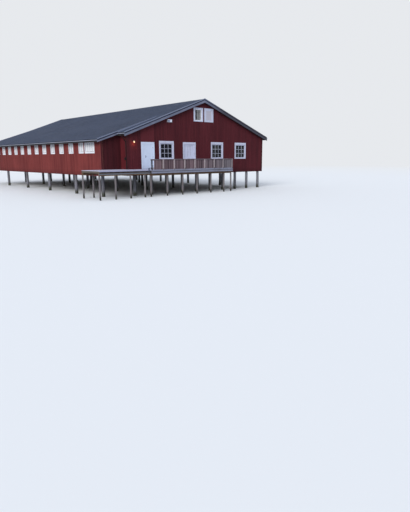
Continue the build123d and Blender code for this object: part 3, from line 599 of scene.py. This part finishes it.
def slates(name, side, peak_z, fall, top_x, end_x, front, back):
    # courses down a plane that is peak_z high over the ridge line, from top_x to end_x;
    # side is 1 on the right and -1 on the left
    angle = math.atan(fall)
    down = Vector((side * math.cos(angle), 0, -math.sin(angle)))
    up = Vector((side * math.sin(angle), 0, math.cos(angle)))
    course_length = run_per_course / math.cos(angle)
    first = math.floor(abs(top_x - ridge_x) / run_per_course)
    last = math.floor(abs(end_x - ridge_x) / run_per_course) + 1
    tilt = slate_thickness / course_length
    slate = beam((0, 0, 0), (slate_length, slate_width - slate_gap, slate_thickness))
    for vert in slate.data.vertices:
        vert.co.z += tilt * vert.co.x
    turn = Matrix((down, Vector((0, 1, 0)), up)).transposed().to_4x4()
    columns = int((back - front) / slate_width) + 3
    start_y = math.floor(front / slate_width) * slate_width - slate_width
    rows = []
    for course in range(first, last):
        lead = course * course_length - (slate_length - course_length)
        begin = Vector((ridge_x, start_y, peak_z)) + down * lead
        begin.y += slate_width / 2 * (course % 2)
        row = copy_of(slate)
        row.data.transform(Matrix.Translation(begin) @ turn)
        repeat(row, columns, (0, slate_width, 0))
        rows.append(row)
    bpy.data.objects.remove(slate)
    piece = joined(rows, name)
    for n in range(len(piece.data.vertices) // slate_corners):
        lift = slate_draw.uniform(0, slate_lift)
        slip = slate_draw.gauss(0, slate_slip)
        for vert in piece.data.vertices[n * slate_corners:(n + 1) * slate_corners]:
            vert.co += up * lift + down * slip
    saw(piece, (0, front, 0), (0, -1, 0))
    saw(piece, (0, back, 0), (0, 1, 0))
    saw(piece, (top_x, 0, 0), (-side, 0, 0))
    saw(piece, (end_x, 0, 0), (side, 0, 0))
    return piece


slate_finish, stone = new_finish("slate")
course = (axis(stone, "X") - ridge_x).maths("ABSOLUTE") / run_per_course
row_number = course.maths("FLOOR")
stagger = row_number.maths("MODULO", 2.0) * 0.5
column = axis(stone, "Y") / slate_width - stagger + 200.0
tone = chance(column.maths("FLOOR") + row_number * 37.0)
clouds = noise(stone, (0.35, 0.22, 0.35), detail=5)
fine = noise(stone, (60, 60, 60), detail=5)
lichen = ease(noise(stone, (3.5, 3.5, 3.5), detail=6, roughness=0.7), 0.60, 0.70)
washed = ease(noise(stone, (0.12, 2.0, 0.12), detail=3), 0.45, 0.75)
colour = blend(tone, rgb(33, 46, 71), rgb(47, 61, 88))
colour = blend(ease(clouds, 0.4, 0.7) * 0.5, colour, rgb(62, 73, 99))
colour = blend(fine * 0.35, colour, rgb(30, 38, 60))
colour = blend(lichen * 0.25, colour, rgb(82, 90, 92))
colour = blend(washed * 0.4, colour, rgb(30, 38, 58))
surface(stone, colour, 0.62 + 0.25 * fine, fine, 0.002, Specular_IOR_Level=0.3)

cap_low, cap_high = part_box("ridge_cap")
left_end_x = left_eave_x - slate_reach
right_end_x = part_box("roof_right")[1].x + slate_reach
aisle_end_x = aisle_roof_low.x - slate_reach
flashing_front = aisle_verge - (roof_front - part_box("bargeboards")[0].y)
aisle_peak = meet_z + aisle_slope * (ridge_x - meet_x)
slate_fields = (
    ("left_slates", -1, ridge_z, slope, cap_low.x + ridge_lap, meet_x, roof_front, roof_back),
    ("eave_slates", -1, ridge_z, slope, meet_x, left_end_x, roof_front, flashing_front),
    ("aisle_slates", -1, aisle_peak, aisle_slope, meet_x, aisle_end_x, aisle_verge, roof_back),
    ("right_slates", 1, ridge_z, slope, cap_high.x - ridge_lap, right_end_x,
     roof_front, roof_back),
)
for field in slate_fields:
    piece = slates(*field)
    fit(piece, slate_finish)

# Roof trim: a folded sheet over the ridge, painted bargeboards under the verges, the
# bright sheet flashing above them, both darker right of the ridge as painted shade, and
# half-round gutters with painted shade below their rims, in brackets with downpipes.


def mottled(name, stretch, low_tone, high_tone, rough, relief=0.0, detail=4, **others):
    # one colour with a little cloud in it; relief is the clouds' height in metres
    material, start = new_finish(name)
    clouds = noise(start, stretch, detail)
    height = clouds if relief else None
    surface(start, blend(clouds, low_tone, high_tone), rough, height, relief, **others)
    return material


ridge_tones = (rgb(56, 64, 84), rgb(74, 83, 103))
dress_cad(mottled("ridge_sheet", (1.5, 0.6, 1.5), *ridge_tones, 0.5, 0.004), "ridge_cap")

barge_finish, paint = new_finish("grey_bargeboard")
grain = noise(paint, (1.4, 30, 30), detail=4)
weather = noise(paint, (1.1, 1.1, 1.1), detail=4)
# painted shade: the bargeboard is darker right of the ridge
shaded_right_verge = ease(axis(paint, "X"), ridge_x, ridge_x + 2.5)
colour = blend(ease(weather, 0.35, 0.7), rgb(99, 104, 125), rgb(119, 125, 147))
colour = blend(ease(grain, 0.6, 0.75) * 0.5, colour, rgb(68, 66, 74))
colour = blend(shaded_right_verge * 0.85, colour, rgb(60, 57, 65))
surface(paint, colour, 0.65, grain, 0.002, Specular_IOR_Level=0.3)
dress_cad(barge_finish, "bargeboards")

flashing_finish, sheet = new_finish("verge_sheet")
dull = noise(sheet, (3, 3, 3), detail=4)
# painted shade: the flashing is darker right of the ridge
shaded_right_verge = ease(axis(sheet, "X"), ridge_x, ridge_x + 2.5)
colour = blend(dull, rgb(104, 113, 138), rgb(126, 135, 160))
colour = blend(shaded_right_verge * 0.75, colour, rgb(76, 66, 60))
surface(sheet, colour, 0.45 + 0.2 * dull, dull, 0.001)
dress_cad(flashing_finish, "verge_flashings")

gutter_finish, sheet = new_finish("gutter_sheet")
dull = noise(sheet, (2.5, 0.8, 2.5), detail=4)
colour = blend(dull, rgb(164, 173, 194), rgb(188, 196, 214))
aisle_rim, hall_rim, right_rim = [high.z for low, high in solids_of("gutters")]
rim = aisle_rim + (hall_rim - aisle_rim) * ease(axis(sheet, "X"), left_x - 1, left_x - 0.99)
rim = rim + (right_rim - hall_rim) * ease(axis(sheet, "X"), ridge_x, ridge_x + 0.01)
# painted shade: gutters and their brackets are darkened below the rim
below_rim = rim - axis(sheet, "Z") - 0.008 * dull
painted_rim_shade = ease(below_rim, 0.036, 0.044)
colour = blend(painted_rim_shade * 0.95, colour, blend(dull, rgb(30, 30, 42), rgb(46, 46, 58)))
surface(sheet, colour, 0.38 + 0.2 * dull, dull, 0.001)
dress_cad(gutter_finish, "gutters")

pipe_finish = mottled(
    "downpipe_paint", (6, 6, 1.5), rgb(20, 8, 11), rgb(32, 14, 17), 0.55, 0.001, 3,
    Specular_IOR_Level=0.25,
)
dress_cad(pipe_finish, "downpipes")
smooth(nodes["downpipes"], 40)
smooth(nodes["gutters"], 40)

bracket_pitch = 0.9
bracket_width = 0.025
bracket_steel = 0.004
bracket_end = 0.1
bracket_rise = 0.002
brackets = []
for low, high in solids_of("gutters"):
    bpy.ops.object.select_all(action="DESELECT")
    bpy.ops.mesh.primitive_cylinder_add(
        vertices=24, radius=(high.x - low.x) / 2 + bracket_steel, depth=bracket_width,
        end_fill_type="NOTHING", rotation=(math.pi / 2, 0, 0),
    )
    hook = bpy.context.object
    bpy.ops.object.transform_apply(location=True, rotation=True, scale=True)
    saw(hook, (0, 0, bracket_rise), (0, 0, 1))
    shape(hook, "SOLIDIFY", thickness=bracket_steel, offset=-1)
    run = high.y - low.y - 2 * bracket_end
    count = max(2, int(run / bracket_pitch) + 1)
    for n in range(count):
        bracket = copy_of(hook)
        y = low.y + bracket_end + n * run / (count - 1)
        bracket.data.transform(Matrix.Translation(((low.x + high.x) / 2, y, high.z)))
        brackets.append(bracket)
    bpy.data.objects.remove(hook)
gutter_brackets = joined(brackets, "gutter_brackets")
fit(gutter_brackets, gutter_finish)

# Windows: white casings nailed over the cladding, and sashes whose clear panes have two
# bars each way, or upright bars only in the smaller ones. One opening of the row and the
# right loft opening are closed by boards.


def window_paint(name, grain_scale, dirt_share, clean, dirty):
    material, paint = new_finish(name)
    grain = noise(paint, grain_scale, detail=4)
    dirt = noise(paint, (3.0, 3.0, 1.6), detail=5)
    colour = blend(ease(dirt, 0.5, 0.8) * dirt_share, clean, dirty)
    surface(paint, colour, 0.5 + 0.2 * grain, grain, 0.0012, Specular_IOR_Level=0.3)
    return material


dress_cad(
    window_paint("white_paint", (26, 26, 3.0), 0.6, rgb(198, 203, 226), rgb(170, 172, 190)),
    "front_casings", "front_sashes",
)
# a lighter copy of the white, as painted light, for the aisle's windows that face the light and
# for the loft linings
dress_cad(
    window_paint("white_paint_painted_light", (3.0, 26, 26), 0.4, rgb(228, 230, 238), rgb(196, 196, 206)),
    "loft_linings", "side_casings", "side_sashes",
)

aisle_panes_x = left_x - 0.3
floor_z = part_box("floor")[1].z
loft_line = floor_z + 3
glass_finish, pane = new_finish("window_glass")
smear = noise(pane, (2.5, 2.5, 1.5), detail=3)
# painted reflection: lighter glints on the panes right of the ridge
glint = ease(noise(pane, (1.5, 1.5, 1.8), detail=1), 0.4, 0.75)
glint = glint * ease(axis(pane, "X"), ridge_x + 0.5, ridge_x + 1.5)
# painted shade: the panes other than the aisle's are nearly opaque and dark for the unlit rooms
# behind, the loft ones less so
dark_behind = ease(axis(pane, "X"), aisle_panes_x, aisle_panes_x + 0.1)
in_loft = ease(axis(pane, "Z"), loft_line, loft_line + 0.01)
colour = blend(smear, rgb(5, 8, 17), rgb(20, 25, 36))
colour = blend(glint, colour, rgb(76, 78, 78))
covering = 0.04 + 0.82 * dark_behind - 0.7 * in_loft * dark_behind
surface(pane, colour, 0.06 + 0.04 * smear, Alpha=covering, Specular_IOR_Level=0.12)
dress_cad(glass_finish, "front_glass", "side_glass")

bar_width = 0.035
bar_depth = 0.02
bar_ease = 0.004
# a bar stands a hair off the pane, and the level bars a little behind the upright ones
bar_seat = 0.0003
level_bar_step = 0.001
wide_pane = 1.2


def glazing_bars(low, high, columns, rows):
    # bars on a pane's outer face that part it into columns and rows
    run = 0 if high.x - low.x > high.y - low.y else 1
    across = 1 - run
    outward = -1 if low[across] < 0 else 1
    face = low[across] if outward < 0 else high[across]
    made = []
    for part, count, step_back in ((run, columns, 0.0), (2, rows, level_bar_step)):
        sides = sorted((face + outward * bar_seat, face + outward * (bar_depth - step_back)))
        for n in range(1, count):
            middle = low[part] + (high[part] - low[part]) * n / count
            first, last = low.copy(), high.copy()
            first[part], last[part] = middle - bar_width / 2, middle + bar_width / 2
            first[across], last[across] = sides
            made.append(beam(first, last, bar_ease))
    return made


bars = []
for low, high in solids_of("front_glass"):
    if low.z < loft_line:
        bars += glazing_bars(low, high, 3, 3)
for low, high in solids_of("side_glass"):
    if low.x < aisle_panes_x:
        grid = (4, 1) if high.y - low.y > wide_pane else (2, 1)
    else:
        grid = (3, 3) if low.z < loft_line else (2, 1)
    bars += glazing_bars(low, high, *grid)
window_bars = joined(bars, "window_bars")
bar_finish = mottled(
    "bar_paint", (6, 6, 3), rgb(158, 162, 182), rgb(184, 188, 206), 0.5, Specular_IOR_Level=0.3
)
fit(window_bars, bar_finish)

(window_low, window_high), (loft_low, loft_high) = solids_of("closed_panels")
window_frame = 0.09
loft_frame = 0.075
backing_thickness = 0.004


def shutter(low, high, frame_width, recess, spare, count, groove):
    # upright boards in a frame: they lie recess behind its face and end spare before its
    # back, with a groove on each side of every board
    inner_low = low + Vector((frame_width, recess, frame_width))
    inner_high = high - Vector((frame_width, spare, frame_width))
    step = (inner_high.x - inner_low.x) / count
    made = []
    for n in range(count):
        first = (inner_low.x + n * step + groove, inner_low.y, inner_low.z)
        last = (inner_low.x + (n + 1) * step - groove, inner_high.y, inner_high.z)
        made.append(beam(first, last, 0.005))
    for first, last in (
        (low, (high.x, high.y, inner_low.z)),
        ((low.x, low.y, inner_high.z), high),
        ((low.x, low.y, inner_low.z), (inner_low.x, high.y, inner_high.z)),
        ((inner_high.x, low.y, inner_low.z), (high.x, high.y, inner_high.z)),
    ):
        made.append(beam(first, last, 0.004))
    return made


closing = shutter(
    window_low, window_high, window_frame, recess=0.012, spare=0.0045, count=3, groove=0.009
)
closing += shutter(loft_low, loft_high, loft_frame, recess=0.006, spare=0, count=6, groove=0.002)
closed_boards = joined(closing, "closing_boards")
closed_finish, paint = new_finish("white_closing_boards")
grain = noise(paint, (28, 28, 2.2), detail=4)
dirt = noise(paint, (2.5, 2.5, 0.8), detail=5)
colour = blend(ease(dirt, 0.4, 0.8) * 0.7, rgb(202, 208, 232), rgb(170, 172, 192))
field = between(axis(paint, "X"), loft_low.x + loft_frame, loft_high.x - loft_frame, 0.002)
field = field * between(axis(paint, "Z"), loft_low.z + loft_frame, loft_high.z - loft_frame, 0.002)
colour = blend(field, colour, blend(grain, rgb(180, 177, 192), rgb(192, 190, 203)))
surface(paint, colour, 0.6, grain, 0.0015, Specular_IOR_Level=0.3)
fit(closed_boards, closed_finish, "closed_panels")

# a dark sheet behind the closing boards: painted shade seen through the grooves between them
groove_shade_tones = (rgb(62, 52, 66), rgb(82, 72, 86))
backing_finish = mottled("groove_shade_backing", (8, 8, 8), *groove_shade_tones, 0.9, detail=3)
inset = Vector((window_frame, 0, window_frame))
backing_low, backing_high = window_low + inset, window_high - inset
backing_low.y = window_high.y - backing_thickness
backing = beam(backing_low, backing_high, name="groove_shade_backing")
fit(backing, backing_finish)

# Blinds: upright white slats of stiff plastic in the aisle's windows and over part of the
# left loft window, hung close behind the panes from a rail at the head, each slat turned
# a little.
slat_width = 0.085
slat_thickness = 0.0016
slat_turns = (6, 14)
rail_drop = 0.03
rail_front = 0.012
rail_back = 0.04
slat_line = 0.028
slat_margin = 0.01
slat_draw = random.Random(3)


def blind(low, high, run, start, end, foot_gap):
    # a rail along a pane's whole head, and slats from start to end along the run axis
    behind = 1 - run
    rail_low, rail_high = low.copy(), high.copy()
    rail_low[behind], rail_high[behind] = high[behind] + rail_front, high[behind] + rail_back
    rail_low.z = high.z - rail_drop
    made = [beam(rail_low, rail_high, 0.003)]
    count = int((end - start) / slat_width)
    step = (end - start) / count
    half, place = Vector(), Vector()
    half[run], half[behind] = slat_width / 2, slat_thickness / 2
    place[behind] = high[behind] + slat_line
    for n in range(count):
        piece = beam((-half.x, -half.y, low.z + foot_gap), (half.x, half.y, high.z - rail_drop))
        turn = Matrix.Rotation(math.radians(slat_draw.uniform(*slat_turns)), 4, "Z")
        place[run] = start + (n + 0.5) * step
        piece.data.transform(Matrix.Translation(place) @ turn)
        made.append(piece)
    return made


slats = []
for low, high in solids_of("side_glass"):
    if low.x < left_x:
        slats += blind(low, high, 1, low.y + slat_margin, high.y - slat_margin, 0.03)
low, high = next(box for box in solids_of("front_glass") if box[0].z > loft_line)
slats += blind(low, high, 0, low.x + (high.x - low.x) / 3, high.x, 0.02)
blinds = joined(slats, "window_blinds")
blind_finish, slat = new_finish("blind_slat")
shade = noise(slat, (3, 9, 0.6), detail=2)
white_slat = blend(shade, rgb(240, 241, 244), rgb(252, 252, 253))
grey_slat = blend(shade, rgb(196, 195, 196), rgb(228, 227, 228))
in_loft = ease(axis(slat, "Z"), loft_line, loft_line + 0.01)
surface(slat, blend(in_loft, white_slat, grey_slat), 0.7)
fit(blinds, blind_finish)

# Entrance door: a painted leaf with a boarded field on three black steel hinges, with a
# satin steel lever handle, in a white frame. All of these are CAD pieces; the board under
# the sill is nailed on.
door_finish, paint = new_finish("door_paint")
grain = noise(paint, (30, 30, 2.4), detail=4)
dirt = noise(paint, (2.2, 2.2, 1.2), detail=4)
height = axis(paint, "Z")
scuff = 1 - ease(height + 0.1 * (dirt - 0.5), floor_z + 0.1, floor_z + 0.35)
colour = blend(ease(dirt, 0.45, 0.8) * 0.4, rgb(210, 223, 245), rgb(194, 205, 227))
colour = blend(scuff * 0.3, colour, rgb(158, 162, 178))
# painted shade: the board under the sill is darkened as the shaded step down to the deck
shaded_step_share = 1 - ease(height, floor_z - 0.004, floor_z - 0.002)
colour = blend(shaded_step_share * 0.8, colour, rgb(132, 140, 164))
surface(paint, colour, 0.45 + 0.15 * grain, grain, 0.001, Specular_IOR_Level=0.3)
dress_cad(door_finish, "entrance_door", "door_frame")

hinge_finish, steel = new_finish("black_steel")
dull = noise(steel, (20, 20, 20), detail=3)
surface(steel, blend(dull, rgb(26, 26, 29), rgb(44, 44, 48)), 0.35 + 0.2 * dull, Metallic=0.6)
dress_cad(hinge_finish, "door_hinges")
handle_finish, steel = new_finish("satin_steel")
dull = noise(steel, (20, 20, 20), detail=3)
surface(steel, blend(dull, rgb(112, 120, 138), rgb(142, 150, 168)), 0.4 + 0.2 * dull)
dress_cad(handle_finish, "door_handle")
smooth(nodes["door_hinges"], 40)
smooth(nodes["door_handle"], 40)

sill_board_end = 0.152
sill_board_thickness = 0.026
sill_board = beam(
    (door_low.x + sill_board_end, front_y - sill_board_thickness, deck_z),
    (door_high.x - sill_board_end, front_y, floor_z), 0.003, "door_sill_board",
)
fit(sill_board, door_finish)

# Deck and landing: planed planks along the front on joists, silvered by the weather,
# with two fascia boards, a rusted steel beam and square posts down to the water.
plank_width = 0.12
plank_gap = 0.006
plank_end_gap = 0.002
plank_length = 3.6
shortest_start = 1.2
shortest_end = 0.4
plank_lift = 0.0015
deck_solids = solids_of("deck_floor")
landing_low, landing_high = deck_solids[0]
main_low, main_high = deck_solids[-1]
plank_draw = random.Random(8)
planks = []
for low, high, stop in ((main_low, main_high, front_y), (landing_low, landing_high, aisle_front)):
    rows = int((stop - low.y) / plank_width)
    step = (stop - low.y) / rows
    for n in range(rows):
        y = low.y + n * step
        far_x = high.x if y + step <= front_y + 0.01 else left_x
        x = low.x
        length = plank_draw.uniform(shortest_start, plank_length)
        while x < far_x - 0.01:
            end = min(x + length, far_x)
            if far_x - end < shortest_end:
                end = far_x
            top = high.z - plank_draw.uniform(0, plank_lift)
            first = (x, y + plank_gap / 2, low.z)
            last = (end - plank_end_gap, y + step - plank_gap / 2, top)
            planks.append(beam(first, last, 0.003))
            x = end
            length = plank_length
deck_planks = joined(planks, "deck_planks")
plank_finish, wood = new_finish("deck_planks")
grain = noise(wood, (1.5, 30, 30), detail=5, warp=0.2)
plank_tone = chance(axis(wood, "Y") / plank_width, seed=3.0)
stain = noise(wood, (1.0, 1.0, 1.0), detail=4)
colour = blend(plank_tone, rgb(162, 164, 187), rgb(188, 190, 213))
colour = blend(ease(grain, 0.45, 0.75) * 0.5, colour, rgb(128, 122, 126))
colour = blend(ease(stain, 0.5, 0.8) * 0.5, colour, rgb(120, 112, 104))
surface(wood, colour, 0.75, grain, 0.003)
fit(deck_planks, plank_finish, "deck_floor")

grey_finish, wood = new_finish("grey_timber")
grain = noise(wood, (2.0, 26, 26), detail=5, warp=0.2)
stain = noise(wood, (1.2, 1.2, 1.2), detail=4)
colour = blend(ease(grain, 0.35, 0.7), rgb(122, 126, 146), rgb(146, 149, 168))
colour = blend(ease(stain, 0.5, 0.8) * 0.6, colour, rgb(104, 100, 108))
landing_share = 1 - ease(axis(wood, "X"), landing_high.x, landing_high.x + 0.01)
upper_share = ease(axis(wood, "Z"), deck_z - 0.15, deck_z - 0.145)
# painted shade: the landing's fascia is darker, with a pale top strip
colour = blend(landing_share * 0.8, colour, rgb(104, 108, 114))
colour = blend(landing_share * upper_share * 0.85, colour, rgb(172, 174, 204))
surface(wood, colour, 0.75, grain, 0.004, Specular_IOR_Level=0.3)
dress_cad(grey_finish, "deck_fascia")


def upright_timber(name, low_tone, high_tone, dark_until=None):
    # posts with their grain upright, dark where they stand in the water; a rail's first
    # post is dark too, and its posts right of the ridge are greyer
    material, wood = new_finish(name)
    grain = noise(wood, (26, 26, 2.0), detail=5, warp=0.2)
    stain = noise(wood, (1.2, 1.2, 1.2), detail=4)
    colour = blend(ease(grain, 0.35, 0.7), low_tone, high_tone)
    colour = blend(ease(stain, 0.5, 0.8) * 0.6, colour, rgb(118, 106, 106))
    foot_wet = 1 - ease(axis(wood, "Z") + 0.2 * grain, 0.25, 0.55)
    colour = blend(foot_wet, colour, rgb(52, 50, 44))
    if dark_until is not None:
        place = axis(wood, "X")
        greyer = ease(place, ridge_x - 2.0, ridge_x + 1.5)
        colour = blend(greyer * 0.6, colour, blend(grain, rgb(104, 100, 108), rgb(126, 122, 130)))
        dark = 1 - ease(place, dark_until, dark_until + 0.01)
        colour = blend(dark, colour, blend(grain, rgb(54, 54, 64), rgb(74, 72, 82)))
    surface(wood, colour, 0.75, grain, 0.004, Specular_IOR_Level=0.3)
    return material


post_finish = upright_timber("grey_post", rgb(104, 100, 104), rgb(136, 131, 133))
first_post_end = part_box("railing_posts")[0].x + 0.12
rail_post_finish = upright_timber(
    "rail_post", rgb(150, 138, 142), rgb(180, 168, 172), first_post_end
)
dress_cad(post_finish, "deck_posts")
dress_cad(rail_post_finish, "railing_posts")
cap_finish, wood = new_finish("rail_cap")
grain = noise(wood, (2.0, 26, 26), detail=5, warp=0.2)
colour = blend(ease(grain, 0.35, 0.7), rgb(104, 92, 102), rgb(132, 120, 130))
surface(wood, colour, 0.75, grain, 0.004, Specular_IOR_Level=0.3)
dress_cad(cap_finish, "railing_cap")

rust_finish, steel = new_finish("rusty_steel")
flakes = noise(steel, (7, 7, 7), detail=6, roughness=0.65)
runs = noise(steel, (6, 6, 1.2), detail=4)
colour = blend(flakes, rgb(98, 76, 58), rgb(134, 108, 84))
colour = blend(ease(runs, 0.5, 0.7) * 0.5, colour, rgb(70, 52, 44))
colour = blend(ease(flakes, 0.62, 0.7), colour, rgb(142, 108, 80))
surface(steel, colour, 0.8, flakes, 0.004)
dress_cad(rust_finish, "deck_beams")

# Railing: upright boards nailed close behind the posts, weathered pinkish brown and grey
# by turns, under a flat cap. A steel strap holds each post's foot to the fascia.
rail_board_pitch = 0.106
rail_board_gap = 0.008
rail_boards = []
for low, high in solids_of("railing_boards"):
    size = high - low
    run = 0 if size.x > size.y else 1
    count = round(size[run] / rail_board_pitch)
    step = size[run] / count
    high[run] = low[run] + step - rail_board_gap
    piece = beam(low, high, 0.003)
    offset = [0, 0, 0]
    offset[run] = step
    repeat(piece, count, offset)
    rail_boards.append(piece)
railing = joined(rail_boards, "rail_upright_boards")
rail_finish, wood = new_finish("rail_boards")
grain = noise(wood, (30, 30, 2.0), detail=5, warp=0.2)
stain = noise(wood, (1.0, 1.0, 0.8), detail=4)
place = axis(wood, "X")
tone = chance((place + axis(wood, "Y")) / rail_board_pitch, seed=5.0)
faded = ease(place + 1.5 * (stain - 0.5), ridge_x - 2.6, ridge_x + 1.4)
brown = blend(tone, rgb(68, 54, 60), rgb(126, 105, 112))
silver = blend(tone, rgb(74, 68, 76), rgb(123, 117, 124))
colour = blend(faded, brown, silver)
colour = blend(ease(grain, 0.5, 0.75) * 0.6, colour, rgb(70, 58, 66))
surface(wood, colour, 0.8, grain, 0.003, Specular_IOR_Level=0.3)
fit(railing, rail_finish, "railing_boards")

strap_width = 0.045
strap_steel = 0.005
strap_seat = 0.0003
strap_foot = 0.07
strap_top = 0.09
shortest_post = 0.4
straps = []
for low, high in solids_of("railing_posts"):
    if low.y > main_low.y or high.z - low.z < shortest_post:
        continue
    middle = (low.x + high.x) / 2
    first = (middle - strap_width / 2, low.y - strap_steel, deck_z - strap_foot)
    last = (middle + strap_width / 2, low.y - strap_seat, deck_z + strap_top)
    straps.append(beam(first, last, 0.0015))
post_straps = joined(straps, "post_straps")
strap_tones = (rgb(38, 36, 42), rgb(66, 58, 60))
strap_finish = mottled("strap_steel", (18, 18, 18), *strap_tones, 0.75, 0.001)
fit(post_straps, strap_finish)

# Fittings: a mooring post with a dark cap, a lit lantern by the corner, a floodlight
# under the gable and the meter box on the side wall.
mooring_cap_z = deck_z + 0.105
mooring_finish, wood = new_finish("mooring_post")
grain = noise(wood, (26, 26, 2.5), detail=4)
top = ease(axis(wood, "Z"), mooring_cap_z, mooring_cap_z + 0.005)
colour = blend(top, blend(grain, rgb(80, 84, 106), rgb(100, 104, 126)), rgb(58, 66, 88))
surface(wood, colour, 0.7, grain, 0.002)
dress_cad(mooring_finish, "bollard")


def light(name, kind, energy, colour):
    made = bpy.data.lights.new(name, kind)
    made.energy, made.color = energy, colour
    placed = bpy.data.objects.new(name, made)
    bpy.context.scene.collection.objects.link(placed)
    return placed


lantern_cap = 0.06
bulb_drop = 0.07
bulb_in_front = 0.02
lamp_low, lamp_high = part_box("wall_lamp")
lamp_finish, lamp = new_finish("lantern")
cap_z = lamp_high.z - lantern_cap
glow = 1 - ease(axis(lamp, "Z"), cap_z - 0.005, cap_z)
surface(
    lamp, blend(glow, rgb(44, 38, 36), rgb(255, 218, 180)), 0.4,
    Emission_Color=blend(glow, (0, 0, 0, 1), (0.42, 0.25, 0.15, 1)), Emission_Strength=1.0,
)
dress_cad(lamp_finish, "wall_lamp")
bulb = light("lantern_bulb", "POINT", 3.5, (1.0, 0.36, 0.10))
bulb.data.shadow_soft_size = 0.04
bulb_y, bulb_z = lamp_low.y + bulb_in_front, lamp_low.z - bulb_drop
bulb.location = ((lamp_low.x + lamp_high.x) / 2, bulb_y, bulb_z)

housing_tones = (rgb(216, 220, 238), rgb(232, 236, 248))
dress_cad(mottled("white_housing", (6, 6, 6), *housing_tones, 0.45), "light_box")
light_low, light_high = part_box("light_box")
lens_corner = Vector((0.03, 0.008, 0.03))
lens_width = 0.19
lens_thickness = 0.01
lens_below_top = 0.08
lens_low = light_low + lens_corner
lens_high = (lens_low.x + lens_width, lens_low.y + lens_thickness, light_high.z - lens_below_top)
lens = beam(lens_low, lens_high, 0.003, "floodlight_glass")
lens_tones = (rgb(66, 88, 136), rgb(92, 114, 160))
lens_finish = mottled("floodlight_glass", (9, 9, 9), *lens_tones, 0.2, detail=3)
fit(lens, lens_finish)

meter_tones = (rgb(14, 13, 15), rgb(26, 24, 27))
dress_cad(mottled("meter_housing", (8, 8, 8), *meter_tones, 0.5), "meter_box")

# Studio: a plain pale floor at the waterline, soft light from the left, and the camera
# where the photograph was taken. None of it belongs to the boathouse.
floor_size = 900.0
pale = (0.80, 0.82, 0.85, 1.0)
shaded = (0.34, 0.35, 0.37, 1.0)
sky_light = (0.62, 0.67, 0.75, 1.0)
bpy.ops.object.select_all(action="DESELECT")
bpy.ops.mesh.primitive_plane_add(size=floor_size, location=(0, 0, 0))
studio_floor = bpy.context.object
studio_floor.name = "studio_floor"
floor_finish, ground = new_finish("studio_floor")
looked_at = ground.node("LightPath", output="Is Camera Ray")
surface(ground, blend(looked_at, shaded, pale), 0.9)
away = ground.node("TexCoord", output="Object")
away = ground.node("VectorMath", {"operation": "LENGTH"}, {0: away}, output="Value")
haze = ground.node("Emission", sockets={"Color": pale, "Strength": 1.0})
near_floor = Layer(ground.tree, ground.tree.nodes["Principled BSDF"].outputs[0])
mixed = ground.node("MixShader", sockets={0: ease(away, 45.0, 130.0), 1: near_floor, 2: haze})
ground.feed(ground.tree.nodes["Material Output"].inputs["Surface"], mixed)
dress(studio_floor, floor_finish)

world = bpy.data.worlds.new("studio")
bpy.context.scene.world = world
world.use_nodes = True
sky = Layer(world.node_tree)
seen = sky.node("LightPath", output="Is Camera Ray")
for ray in ("Is Glossy Ray", "Is Transmission Ray"):
    seen = seen.maths("MAXIMUM", sky.node("LightPath", output=ray))
sky.feed(world.node_tree.nodes["Background"].inputs["Color"], blend(seen, sky_light, pale))

sun = light("soft_key", "SUN", 2.4, (1.0, 0.98, 0.95))
sun.data.angle = math.radians(35)
from_left = Vector((-0.85, -0.42, 0.50))
sun.rotation_euler = from_left.to_track_quat("Z", "Y").to_euler()

camera_data = bpy.data.cameras.new("camera")
camera = bpy.data.objects.new("camera", camera_data)
bpy.context.scene.collection.objects.link(camera)
bpy.context.scene.camera = camera
camera_data.sensor_width = 36.0
camera_data.lens = 31.62
camera_data.clip_end = 2000.0
camera_place = (-28.037, -47.434, 3.273)
yaw = math.radians(41.86)
pitch = math.radians(-12.41)
roll = math.radians(-0.25)
ahead = Vector(
    (math.sin(yaw) * math.cos(pitch), math.cos(yaw) * math.cos(pitch), math.sin(pitch))
)
level = Vector((math.cos(yaw), -math.sin(yaw), 0))
upright = level.cross(ahead)
side = math.cos(roll) * level + math.sin(roll) * upright
top = math.cos(roll) * upright - math.sin(roll) * level
aim = Matrix((side, top, -ahead)).transposed().to_4x4()
camera.matrix_world = Matrix.Translation(camera_place) @ aim

bpy.context.scene.view_settings.view_transform = "Standard"
